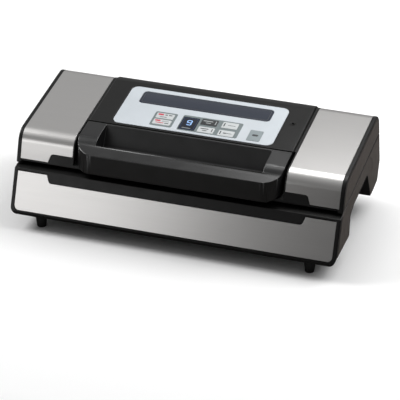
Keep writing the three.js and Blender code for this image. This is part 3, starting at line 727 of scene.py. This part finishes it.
def side_covers(name, sign):
    x0, x1 = span(sign, HALF_WIDTH - 2.5, HALF_WIDTH - 0.2)
    rims = outer_rim(sign, 0.6)
    lower = common(slab(side, inset(LOBE_OUTLINE, LOBE_FRAME), x0, x1, *rims), bottom_corners())
    x2, x3 = span(sign, HALF_WIDTH - 0.6, HALF_WIDTH + 1)
    crease = [
        (150, 84, 0), (162, 76, 9), (166, 60, 0),
        (166.9, 60, 0), (162.8, 76.8, 9.8), (150.5, 85, 0),
    ]
    lower = cut(lower, slab(side, crease, x2, x3))
    piece(lower, "side_cover_" + name, "base", "charcoal_plastic", "base_side_panel_" + name)
    upper = slab(side, inset(LID_END_OUTLINE, LID_FRAME), x0, x1, *rims)
    piece(upper, "lid_side_cover_" + name, "lid", "charcoal_plastic", "lid_side_panel_" + name)


def roll_bin():
    def bowl(r, low):
        return [
            (ROLL_Y - r, 110, 0), (ROLL_Y - r, ROLL_Z - r + low, r - low - 0.1),
            (ROLL_Y + r, ROLL_Z - r + low, r - low - 0.1), (ROLL_Y + r, 110, 0),
        ]
    outer = slab(side, bowl(ROLL_RADIUS + 2, 0), -ROLL_HALF - 2, ROLL_HALF + 2)
    hollow = slab(side, bowl(ROLL_RADIUS, 0), -ROLL_HALF, ROLL_HALF, 2)
    above = deck_block(-200, 200, 0, 200, -0.7, 60)
    piece(cut(outer, hollow, above), "roll_bin", "base", "black_plastic", "roll_trough", edge=0.5)


def drip_tray():
    x0, x1, u0, u1, w0, w1 = deck_box("drip_tray")
    section = [
        (2, w0), (0.6, w0 + 0.4), (0, w0 + 1.5), (0, w1 - 0.4), (0.3, w1), (1.2, w1),
        (1.5, w1 - 0.4), (1.5, w0 + 5), (1.9, w0 + 3.2), (2.9, w0 + 2.1), (4.4, w0 + 1.7),
    ]
    tray = loft(deck, rectangle(x0, u0, x1, u1, 6), section)
    piece(tray, "drip_tray_tub", "base", "charcoal_plastic", "drip_tray")


def foam_ring(name, body, node, low, high):
    """A gasket with a half-round crown; high may be below low for one that faces down."""
    x0, x1, u0, u1, _, _ = GASKET
    width, crown = GASKET_WIDTH, math.copysign(1.6, high - low)
    section = [(0, low), (0, high - crown)]
    for step in range(1, 8):
        turn = math.pi * step / 8
        section.append((width / 2 * (1 - math.cos(turn)), high - crown * (1 - math.sin(turn))))
    section += [(width, high - crown), (width, low)]
    ring = loft(deck, rectangle(x0, u0, x1, u1, GASKET_CORNER), section, closed=True)
    piece(ring, name, body, "gasket_foam", node)


def sealing_strip():
    x0, x1, u0, u1, w0, w1 = BAR
    bar = slab(deck, rectangle(x0, u0, x1, u1, 0.6), w0, w1, 0, 0.4)
    piece(bar, "heater_bar", "base", "natural_plastic", "seal_bar")
    x0, x1, u0, u1, w0, w1 = deck_box("sealing_tape")
    middle = (u0 + u1) / 2
    tape = [
        (u0, w0, 0), (u1, w0, 0), (u1, w0 + 0.1, 0), (middle + 1.4, w0 + 0.12, 1),
        (middle, w1, 0.8), (middle - 1.4, w0 + 0.12, 1), (u0, w0 + 0.1, 0),
    ]
    piece(slab(deck_side, tape, x0, x1), "heat_tape", "base", "sealing_tape", "sealing_tape")
    for name, sign in SIDES:
        ends = span(sign, x1 - 5, x1 + 0.4)
        clamp = block(deck, *ends, u0 + 0.6, u1 - 0.6, w0 + 0.15, w1 + 0.25, 0.8, 0.2)
        piece(clamp, "tape_clamp_" + name, "base", "zinc_steel", finish=PRINTS["heater_wire"])


def cutter():
    x0, x1, u0, u1, w0, w1 = RAIL
    rail = slab(deck, rectangle(x0, u0, x1, u1, 1), w0, w1, 0, 0.4)
    groove = deck_block(-150, 150, u0 + 1.9, u1 - 1.9, w0 + 1.3, 5, 1)
    piece(cut(rail, groove), "cutter_track", "base", "black_plastic", "cutter_rail", edge=0.15)
    a, b, u2, u3, _, high = deck_box("cutter_slider")
    middle = (u2 + u3) / 2
    knob = slab(deck, rectangle(a, u2, b, u3, 3), -0.3, high, 0.2, 0.9)
    ribs = []
    for x in range(-143, -132, 2):
        ribs.append(deck_block(x - 0.5, x + 0.5, u2 + 1.6, u3 - 1.6, high - 0.5, high + 1))
    tongue = deck_block(a + 2, b - 2, middle - 0.9, middle + 0.9, -2, 0)
    slider = join(cut(knob, *ribs), tongue)
    piece(slider, "cutter_knob", "cutter_slider", "grey_key", "cutter_slider", edge=0.15)


def nozzle():
    floor = -CHAMBER_DEPTH
    profile = [
        (1.6, floor + 0.5), (1.6, floor + 5), (2.2, floor + 5.5), (3.2, floor + 5.5),
        (3.6, floor + 5), (3.6, floor + 2.9), (4.2, floor + 2.3), (6.6, floor + 2.3),
        (7, floor + 1.9), (7, floor + 0.3), (3.6, floor + 0.3), (3.6, -21), (1.6, -21),
    ]
    tube = turned(deck, *NOZZLE, profile, closed=True)
    piece(tube, "vacuum_nozzle", "base", "charcoal_plastic", "air_nozzle")


def foot(name, node):
    low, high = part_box(node)
    x, y = (low.x + high.x) / 2 / MM, (low.y + high.y) / 2 / MM - FRONT_Y
    top = high.z / MM
    profile = [
        (0.3, 0.7), (3.2, 0.7), (3.6, 0), (4.7, 0), (5.2, 0.2), (5.5, 0.7), (7.2, top - 1.2),
        (7.5, top - 0.6), (7.5, top), (0.3, top),
    ]
    piece(turned(plan, x, y, profile), name, "base", "foot_rubber", node)


def power_socket():
    body = slab(front, rectangle(116.4, 37.4, 143.6, 54.6, 2.6), 184, 200.6, 0, 0.8)
    hole = slab(front, rectangle(120, 41, 140, 51, 4.8), 188, 206)
    piece(cut(body, hole), "inlet_body", "base", "black_plastic", "power_inlet", edge=0.4)
    for name, x in (("inlet_pin_left", 125.6), ("inlet_pin_right", 134.4)):
        pin = [(1.0, 187), (1.3, 188), (1.3, 196.5), (1.0, 197.3), (0.4, 197.7)]
        piece(turned(front, x, 46, pin, 24), name, "base", "zinc_steel", finish=PRINTS["brass"])


def hinge(name, sign):
    def knuckles(*spans):
        return [rod(HINGE_RADIUS, *span(sign, *x), HINGE_Y, HINGE_Z, 0.3) for x in spans]

    def bore():
        return rod(HINGE_BORE, *span(sign, 90, 140), HINGE_Y, HINGE_Z)

    plate = block(plan, *span(sign, 100, 126), 189.4, 192, 82.4, 89)
    ears = [block(plan, *span(sign, *x), 190, 198, 84, HINGE_Z - 2.5) for x in HINGE_ENDS]
    leaf = cut(join(plate, *ears, *knuckles(*HINGE_ENDS)), bore())
    piece(leaf, "hinge_lower_" + name, "base", "zinc_steel", "hinge_base_leaf_" + name, edge=0.25)
    a, b = span(sign, *HINGE_MIDDLE)
    upper = block(plan, a, b, 189.4, 191.6, 96, 105.4)
    ear = block(plan, a, b, 190, 197, HINGE_Z + 2.4, 104)
    leaf = cut(join(upper, ear, *knuckles(HINGE_MIDDLE)), bore())
    piece(leaf, "hinge_upper_" + name, "lid", "zinc_steel", "hinge_lid_leaf_" + name, edge=0.25)
    pin = join(
        rod(HINGE_BORE - GAP, *span(sign, 100, 127), HINGE_Y, HINGE_Z, 0.3),
        rod(2.8, *span(sign, 126.4, 127.4), HINGE_Y, HINGE_Z, 0.3),
    )
    piece(pin, "hinge_rod_" + name, "base", "zinc_steel", "hinge_pin_" + name)


# ---- Lid ----
def lid_body():
    ends = [
        slab(side, LID_END_OUTLINE, *span(sign, HALF_WIDTH - 6, HALF_WIDTH), *outer_rim(sign, 1))
        for _, sign in SIDES
    ]
    body = join(slab(side, LID_OUTLINE, -HALF_WIDTH + 5, HALF_WIDTH - 5), *ends)
    interior = join(
        slab(side, inset(LID_OUTLINE, WALL + SHEET + GAP), -HALF_WIDTH + 6, HALF_WIDTH - 6),
        deck_block(-HALF_WIDTH + 6, HALF_WIDTH - 6, -6.2, 152, -3, 12),
    )
    well_wall = slab(side, inset(WELL_OUTLINE, -2.6), -HANDLE_HALF - 5.5, HANDLE_HALF + 5.5)
    interior = cut(interior, well_wall)
    tools = [
        interior,
        slab(side, WELL_OUTLINE, -HANDLE_HALF - 2.5, HANDLE_HALF + 2.5),
        console_band(LID_OUTLINE, -8, 1.4, CONSOLE_HALF + GAP, CONSOLE_FRONT - GAP, 0),
        block(panel, *grown(WINDOW, 3), *THROUGH_LID),
        block(panel, -60, 90, 32, 68, *THROUGH_LID),
        turned(panel, PORT_X, PORT_S, [(5, depth) for depth in THROUGH_LID]),
        rod(3.2, -HANDLE_HALF - 5, HANDLE_HALF + 5, PIVOT_Y, PIVOT_Z),
    ]
    end = HALF_WIDTH - FRAME_WIDTH
    for _, sign in SIDES:
        tools.append(wrap_band(sign, -2, SHEET + GAP, WRAP_INNER, end, 80 - GAP))
        tools.append(side_recess(LID_END_OUTLINE, LID_FRAME, sign))
        tools.append(hinge_pocket(sign, 88, 108, 0.6))
    piece(cut(body, *tools), "lid_body", "lid", "black_plastic", "lid_shell", edge=0.4)


def steel_cover(name, sign):
    wrap = wrap_band(sign, 0.2, SHEET, WRAP_INNER + GAP, HALF_WIDTH - FRAME_WIDTH - GAP, 80)
    piece(wrap, "steel_cover_" + name, "lid", "brushed_steel", "steel_wrap_" + name, edge=0.2)


def console_band(outline, outside, inside, half, front_y, rim):
    return cut(
        slab(side, inset(outline, outside), -half, half, rim),
        slab(side, inset(LID_OUTLINE, inside), -half - 1, half + 1),
        block(plan, -200, 200, -20, front_y, 0, 200),
        block(plan, -200, 200, 0, 210, 0, 106),
    )


def key_hole(node, margin, through):
    return block(panel, *grown(panel_box(node), margin), *through, KEY_CORNER + margin)


def overlay_corners():
    x0, x1, s0, s1, _, _ = OVERLAY
    return rectangle(x0, s0, x1, s1, 9)


def console_shell():
    recess = [(-0.35, -1.3), (-0.35, -1), (-1.9, 0), (-3.45, 1)]
    recess = [(distance, CONSOLE_RISE + depth) for distance, depth in recess]
    tools = [
        rod(14.7, -CONSOLE_HALF - 1, CONSOLE_HALF + 1, PIVOT_Y, PIVOT_Z),
        loft(panel, overlay_corners(), recess),
        block(panel, *grown(WINDOW, -1), *THROUGH_CONSOLE, 4),
        block(panel, *grown(DISPLAY, 0.4), *THROUGH_CONSOLE),
        turned(panel, PORT_X, PORT_S, [(2.8, depth) for depth in THROUGH_CONSOLE]),
    ]
    tools += [key_hole(node, 0.4, THROUGH_CONSOLE) for node in KEYS]
    band = console_band(CONSOLE_OUTLINE, -CONSOLE_TOP, 1.1, CONSOLE_HALF, CONSOLE_FRONT, 2)
    piece(cut(band, *tools), "console_cover", "lid", "black_plastic", "console", edge=0.6)


def front_plate():
    plate = slab(panel, overlay_corners(), CONSOLE_RISE - 1.2, OVERLAY_TOP, 0, 0.5)
    lens = [*grown(DISPLAY, GAP), *THROUGH_OVERLAY, KEY_CORNER]
    holes = [block(panel, *grown(WINDOW, GAP), *THROUGH_OVERLAY, 5), block(panel, *lens)]
    holes += [key_hole(node, KEY_GAP, THROUGH_OVERLAY) for node in KEYS]
    piece(cut(plate, *holes), "front_plate", "lid", "silver_overlay", "control_overlay", edge=0.15)
    backings = {
        "backing_left": (-54, -26.5, 35, 64.6, ["key_bag_dry", "key_bag_moist"]),
        "backing_middle": (DISPLAY[0] - 1, 54.5, 33.6, 65.6, KEYS[2:6]),
    }
    for name, (a, b, low, high, nodes) in backings.items():
        patch = block(panel, a, b, low, high, OVERLAY_TOP - 0.3, OVERLAY_TOP + 0.04, 2.4)
        holes = [key_hole(node, KEY_GAP, THROUGH_OVERLAY) for node in nodes]
        if name == "backing_middle":
            holes.append(block(panel, *lens))
        piece(cut(patch, *holes), name, "lid", "grey_key", finish=PRINTS["print_backing"])


def printed_line(corners, width, top, proud):
    """A thin line round an outline, let into a surface at top."""
    low, high = top - PRINT_DEPTH, top + proud
    section = [(0, low), (0, high), (width, high), (width, low)]
    return loft(panel, corners, section, closed=True)


def bin_window():
    x0, x1, s0, s1, low, _ = WINDOW
    glass = slab(panel, rectangle(x0, s0, x1, s1, 4.7), low, WINDOW_TOP, 0, 0.4)
    piece(glass, "bin_window", "lid", "smoked_window", "roll_window")
    line = printed_line(rectangle(x0 + 2.6, s0 + 2.4, x1 - 2.6, s1 - 2.4, 3), 0.5, WINDOW_TOP, 0.03)
    piece(line, "window_border", "lid", "dark_key", finish=PRINTS["print_dark"])


def segment(x0, s0, x1, s1, width):
    """One bar of a seven-segment digit, with pointed ends, between two points of the panel."""
    start, end = Vector((x0, s0)), Vector((x1, s1))
    along = (end - start).normalized() * width / 2
    across = Vector((-along.y, along.x))
    points = [
        start, start + along + across, end - along + across,
        end, end - along - across, start + along - across,
    ]
    return [(point.x, point.y, 0) for point in points]


def display():
    x0, x1, s0, s1, low, _ = DISPLAY
    top = DISPLAY_TOP
    lens = slab(panel, rectangle(x0, s0, x1, s1, KEY_CORNER), low, top, 0, 0.35)
    piece(lens, "display_cover", "lid", "display_glass", "display_lens")
    line = printed_line(rectangle(x0 + 1.4, s0 + 1.4, x1 - 1.4, s1 - 1.4, 0.8), 0.35, top, 0.02)
    piece(line, "display_border", "lid", "display_glass", finish=PRINTS["digit_dim"])
    width, half, tall = 1.35, 2.6, 4.6
    x, s = (x0 + x1) / 2, s0 + 0.34 * (s1 - s0) + 1.4
    bars = {
        "top": (x - half, s + 2 * tall, x + half, s + 2 * tall),
        "middle": (x - half, s + tall, x + half, s + tall),
        "bottom": (x - half, s, x + half, s),
        "upper_left": (x - half, s + tall, x - half, s + 2 * tall),
        "upper_right": (x + half, s + tall, x + half, s + 2 * tall),
        "lower_left": (x - half, s, x - half, s + tall),
        "lower_right": (x + half, s, x + half, s + tall),
    }
    for name, ends in bars.items():
        bar = slab(panel, segment(*ends, width), top - PRINT_DEPTH, top + 0.04)
        glow = PRINTS["digit_dim"] if name == "lower_left" else PRINTS["digit_glow"]
        piece(bar, "digit_" + name, "lid", "display_glass", finish=glow)
    caption = block(panel, x - 6, x + 5, s0 + 3, s0 + 4, top - PRINT_DEPTH, top + 0.03, 0.45)
    piece(caption, "display_mark", "lid", "display_glass", finish=PRINTS["print_light"])


# Each key's printed marks: (colour, x0, x1, s0, s1) as shares of the cap.
MARKS = {
    "key_bag_dry": [
        ("red", 0.08, 0.40, 0.58, 0.86), ("dark", 0.46, 0.62, 0.64, 0.80),
        ("dark", 0.68, 0.88, 0.64, 0.80), ("dark", 0.22, 0.62, 0.24, 0.34),
    ],
    "key_bag_moist": [
        ("red", 0.08, 0.40, 0.60, 0.86), ("light", 0.48, 0.88, 0.60, 0.78),
        ("red", 0.16, 0.62, 0.30, 0.42), ("dark", 0.66, 0.90, 0.30, 0.42),
    ],
    "key_seal_only": [
        ("light", 0.10, 0.70, 0.60, 0.74), ("light", 0.30, 0.62, 0.30, 0.42),
        ("light", 0.86, 0.92, 0.22, 0.80),
    ],
    "key_pressure": [
        ("dark", 0.14, 0.64, 0.60, 0.74), ("dark", 0.28, 0.58, 0.30, 0.42),
        ("dark", 0.84, 0.90, 0.24, 0.80),
    ],
    "key_marinate": [("dark", 0.10, 0.17, 0.24, 0.82), ("dark", 0.36, 0.84, 0.47, 0.54)],
    "key_canister": [
        ("dark", 0.10, 0.17, 0.24, 0.82), ("dark", 0.30, 0.52, 0.42, 0.58),
        ("dark", 0.52, 0.86, 0.47, 0.54),
    ],
    "key_start": [("dark", 0.28, 0.74, 0.44, 0.60)],
}


def key(node):
    slot = {"key_seal_only": "dark_key", "key_start": "grey_key"}.get(node, "white_key")
    x0, x1, s0, s1, low, _ = panel_box(node)
    cap = slab(panel, rectangle(x0, s0, x1, s1, KEY_CORNER), low, KEY_TOP, 0, 0.35)
    piece(cap, "cap_" + node, node, slot, node)
    for index, (color, a, b, c, d) in enumerate(MARKS[node]):
        ends = [x0 + (x1 - x0) * share for share in (a, b)]
        ends += [s0 + (s1 - s0) * share for share in (c, d)]
        radius = 0.45 * min(ends[1] - ends[0], ends[3] - ends[2])
        mark = block(panel, *ends, KEY_TOP - 0.1, KEY_TOP + 0.03, radius)
        piece(mark, f"mark_{node}_{index + 1}", node, slot, finish=PRINTS["print_" + color])


def port():
    top = CONSOLE_RISE + 0.3
    profile = [
        (1.3, top - 6), (1.3, top - 0.3), (1.5, top), (2.1, top), (2.4, top - 0.3), (2.4, -1.6),
        (4.4, -1.6), (4.4, -3.4), (2.4, -3.4), (2.4, -13.8), (1.3, -13.8),
    ]
    tube = turned(panel, PORT_X, PORT_S, profile, closed=True)
    piece(tube, "hose_port", "lid", "black_plastic", "accessory_port")


def liner():
    plate = slab(deck, rectangle(-LINER_HALF, 2, LINER_HALF, 151, 3), 0.7, 5.5, 0.3, 0)
    wall = deck_block(-155, 155, 76, 78.5, 5, 22)
    lip = deck_block(-LINER_HALF, LINER_HALF, -5.8, 2.4, 1.7, 4.6)
    tools = [
        deck_block(BAR[0] - 0.5, BAR[1] + 0.5, BAR[2] + 0.2, BAR[3] - 0.2, 0, 4),
        gasket_ring(0.4, 0, 4),
        deck_block(-153, 153, RAIL[2] - 3.3, RAIL[3] + 1.8, 0, 4.2, 1),
        deck_block(-151, 151, 79, 146, 0, 10, 2),
    ]
    tools += [latch_slot(sign, 24, 0, 10) for _, sign in SIDES]
    tools += [hinge_pocket(sign, 80, 108) for _, sign in SIDES]
    made = split_large_faces(cut(join(plate, wall, lip), *tools))
    piece(made, "lid_inner_plate", "lid", "black_plastic", "lid_liner", edge=0.4)
    x0, x1, u0, u1, w0, w1 = deck_box("pressure_strip")
    strip = slab(deck, rectangle(x0, u0, x1, u1, 1), w0, w1, 0.8, 0)
    piece(strip, "silicone_strip", "lid", "foot_rubber", "pressure_strip")


def latch(name, sign):
    blade = [
        (56, 92, 1.5), (63.5, 92, 1.5), (63.5, 87, 1), (53, 80, 4), (49.5, 66.5, 2),
        (51.6, 63.6, 0.6), (46.5, 62.4, 1), (45.2, 66, 1), (48.5, 82, 6),
    ]
    hook = slab(side, blade, *span(sign, LATCH_X - 2, LATCH_X + 2), 0.4)
    piece(hook, "latch_blade_" + name, "latch_hooks", "zinc_steel", "latch_hook_" + name)
    catch = deck_block(*span(sign, LATCH_X - 3.7, LATCH_X + 3.7), 14, 17.7, -15, -9)
    piece(catch, "latch_keeper_" + name, "base", "zinc_steel", "latch_catch_" + name, edge=0.4)


def handle_bar():
    inner = HANDLE_HALF - HANDLE_ARM
    front_y, front_z, _ = HANDLE_OUTLINE[0]

    def leaning(a, b, c):
        return a, front_y - 0.02 + b + c * math.tan(HANDLE_LEAN), front_z + c

    corners = [
        (-HANDLE_HALF, 0, HANDLE_CORNER), (HANDLE_HALF, 0, HANDLE_CORNER),
        (HANDLE_HALF, 90, 0), (-HANDLE_HALF, 90, 0),
    ]
    bar = slab(side, HANDLE_OUTLINE, -HANDLE_HALF, HANDLE_HALF)
    bar = common(bar, slab(leaning, corners, -20, 60))
    scoop = slab(side, BOWL_OUTLINE, -inner, inner)
    trunnions = []
    for _, sign in SIDES:
        ends = span(sign, HANDLE_HALF - 10, HANDLE_HALF + 4)
        trunnions.append(rod(TRUNNION_RADIUS, *ends, PIVOT_Y, PIVOT_Z, 0.4))
    made = join(cut(bar, scoop), *trunnions)
    satin = PRINTS["satin_black"]
    piece(made, "handle_bar", "handle", "black_plastic", "handle", edge=0.9, finish=satin)


def inner_works():
    """CAD pieces whose shape is right keep it, with small rounded edges."""
    slots = {part["node"]: part["material_slot"] for part in frame["record"]["subparts"]}
    for name, node in frame["nodes"].items():
        if node.hide_render:
            continue
        node.data.materials.clear()
        node.data.materials.append(LOOKS[slots[name]])
        node.data.shade_smooth()
        weld = node.modifiers.new("weld", "WELD")
        weld.merge_threshold = 10 * WELD
        soften(node, 0.3)


# ---- Stage ----
def aim(made, location, target):
    made.location = location
    made.rotation_euler = (Vector(target) - Vector(location)).to_track_quat("-Z", "Y").to_euler()
    bpy.context.scene.collection.objects.link(made)


def area_light(name, location, target, width, height, power):
    data = bpy.data.lights.new(name, "AREA")
    data.shape = "RECTANGLE"
    data.size = width
    data.size_y = height
    data.energy = power
    light = bpy.data.objects.new(name, data)
    aim(light, location, target)
    return light


# Painted shade on the floor: grey well in front of the object, white near it.
PAPER_WHITE, PAINTED_SHADE_GREY = (0.92, 0.92, 0.92), (0.2, 0.2, 0.2)
FADE_FROM, FADE_TO = -0.95, -0.42  # metres in front of the object: grey to white
# Painted reflection: the dim floor colour that glossy rays see.
PAINTED_REFLECTION_GREY = (0.11, 0.105, 0.1)


def paper():
    """White paper with painted shade: its colour fades to grey well in front of the object."""
    material = look("floor_paper", PAPER_WHITE, 0.8, Specular_IOR_Level=0.1)
    tree = material.node_tree
    place = tree.nodes.new("ShaderNodeTexCoord")
    split = tree.nodes.new("ShaderNodeSeparateXYZ")
    fade = tree.nodes.new("ShaderNodeMapRange")
    ramp = tree.nodes.new("ShaderNodeValToRGB")
    fade.inputs["From Min"].default_value = FADE_FROM
    fade.inputs["From Max"].default_value = FADE_TO
    ramp.color_ramp.elements[0].color = (*PAINTED_SHADE_GREY, 1)
    ramp.color_ramp.elements[1].color = (*PAPER_WHITE, 1)
    tree.links.new(place.outputs["Object"], split.inputs["Vector"])
    tree.links.new(split.outputs["Y"], fade.inputs["Value"])
    tree.links.new(fade.outputs["Result"], ramp.inputs["Fac"])
    tree.links.new(ramp.outputs["Color"], tree.nodes["Principled BSDF"].inputs["Base Color"])
    add_bump(material, texture(material, 40), 0.5, 0.01)
    # Painted reflection: glossy rays see a dim grey floor colour in place of the one in view, so
    # everything mirrors a dimmer floor.
    path = tree.nodes.new("ShaderNodeLightPath")
    dim = tree.nodes.new("ShaderNodeBsdfDiffuse")
    mix = tree.nodes.new("ShaderNodeMixShader")
    dim.inputs["Color"].default_value = (*PAINTED_REFLECTION_GREY, 1)
    tree.links.new(path.outputs["Is Glossy Ray"], mix.inputs["Fac"])
    tree.links.new(tree.nodes["Principled BSDF"].outputs["BSDF"], mix.inputs[1])
    tree.links.new(dim.outputs["BSDF"], mix.inputs[2])
    tree.links.new(mix.outputs["Shader"], tree.nodes["Material Output"].inputs["Surface"])
    return material


CAMERA_AZIMUTH, CAMERA_ELEVATION = math.radians(18.125), math.radians(29.987)
CAMERA_TARGET = Vector((0.00895, -0.0137, 0.02625))
CAMERA_DISTANCE = 2.6885
CAMERA_LENS, CAMERA_SENSOR = 202.5, 36  # millimetres
FLOOR_HALF = 6
SKY_TOWARD = (0, 0.6, 0.8)  # the sky is brightest up and behind the object
SKY_LOW, SKY_HIGH = 0.05, 0.5


def view():
    data = bpy.data.cameras.new("camera")
    data.lens = CAMERA_LENS
    data.sensor_width = CAMERA_SENSOR
    flat = math.cos(CAMERA_ELEVATION)
    back = Vector((
        math.sin(CAMERA_AZIMUTH) * flat, -math.cos(CAMERA_AZIMUTH) * flat,
        math.sin(CAMERA_ELEVATION),
    ))
    camera = bpy.data.objects.new("camera", data)
    aim(camera, CAMERA_TARGET + back * CAMERA_DISTANCE, CAMERA_TARGET)
    bpy.context.scene.camera = camera


def stage():
    ground = bmesh.new()
    bmesh.ops.create_grid(ground, x_segments=8, y_segments=8, size=FLOOR_HALF)
    mesh = bpy.data.meshes.new("floor")
    ground.to_mesh(mesh)
    ground.free()
    floor = bpy.data.objects.new("floor", mesh)
    bpy.context.scene.collection.objects.link(floor)
    mesh.materials.append(paper())

    area_light("left", (-1.5, 0.0, 1.5), (0, 0, 0), 0.9, 0.9, 26)
    area_light("right", (1.3, 0.9, 1.5), (0, 0, 0), 0.9, 0.9, 14)
    area_light("overhead", (0.28, 0.2, 0.68), (0.28, 0.2, 0), 0.7, 0.5, 3.3)
    # Only reflections show this one: it leaves the floor under the front edge dark.
    card = area_light("front_left", (-0.8, -1.1, 0.36), (-0.4, 0, 0.2), 0.95, 0.5, 2.5)
    card.visible_diffuse = False


def sky():
    world = bpy.data.worlds.new("studio")
    world.use_nodes = True
    tree = world.node_tree
    direction = tree.nodes.new("ShaderNodeTexCoord")
    toward = tree.nodes.new("ShaderNodeVectorMath")
    toward.operation = "DOT_PRODUCT"
    toward.inputs[1].default_value = SKY_TOWARD
    spread = tree.nodes.new("ShaderNodeMapRange")
    limits = {"From Min": -0.5, "From Max": 1, "To Min": SKY_LOW, "To Max": SKY_HIGH}
    for socket, value in limits.items():
        spread.inputs[socket].default_value = value
    tree.links.new(direction.outputs["Generated"], toward.inputs[0])
    tree.links.new(toward.outputs["Value"], spread.inputs["Value"])
    tree.links.new(spread.outputs["Result"], tree.nodes["Background"].inputs["Strength"])
    tree.nodes["Background"].inputs["Color"].default_value = (1, 1, 1, 1)
    bpy.context.scene.world = world


view()
stage()
sky()
bpy.context.scene.view_settings.view_transform = "Standard"
base_body()
base_front()
roll_bin()
drip_tray()
foam_ring("base_gasket", "base", "lower_gasket", -4.6, 0.2)
foam_ring("lid_gasket", "lid", "upper_gasket", 3.7, 0.6)
sealing_strip()
cutter()
nozzle()
power_socket()
lid_body()
console_shell()
front_plate()
bin_window()
display()
port()
liner()
handle_bar()
for key_node in KEYS:
    key(key_node)
for side_name, side_sign in SIDES:
    side_covers(side_name, side_sign)
    steel_cover(side_name, side_sign)
    hinge(side_name, side_sign)
    latch(side_name, side_sign)
    foot("foot_pad_front_" + side_name, "foot_front_" + side_name)
    foot("foot_pad_rear_" + side_name, "foot_rear_" + side_name)
inner_works()
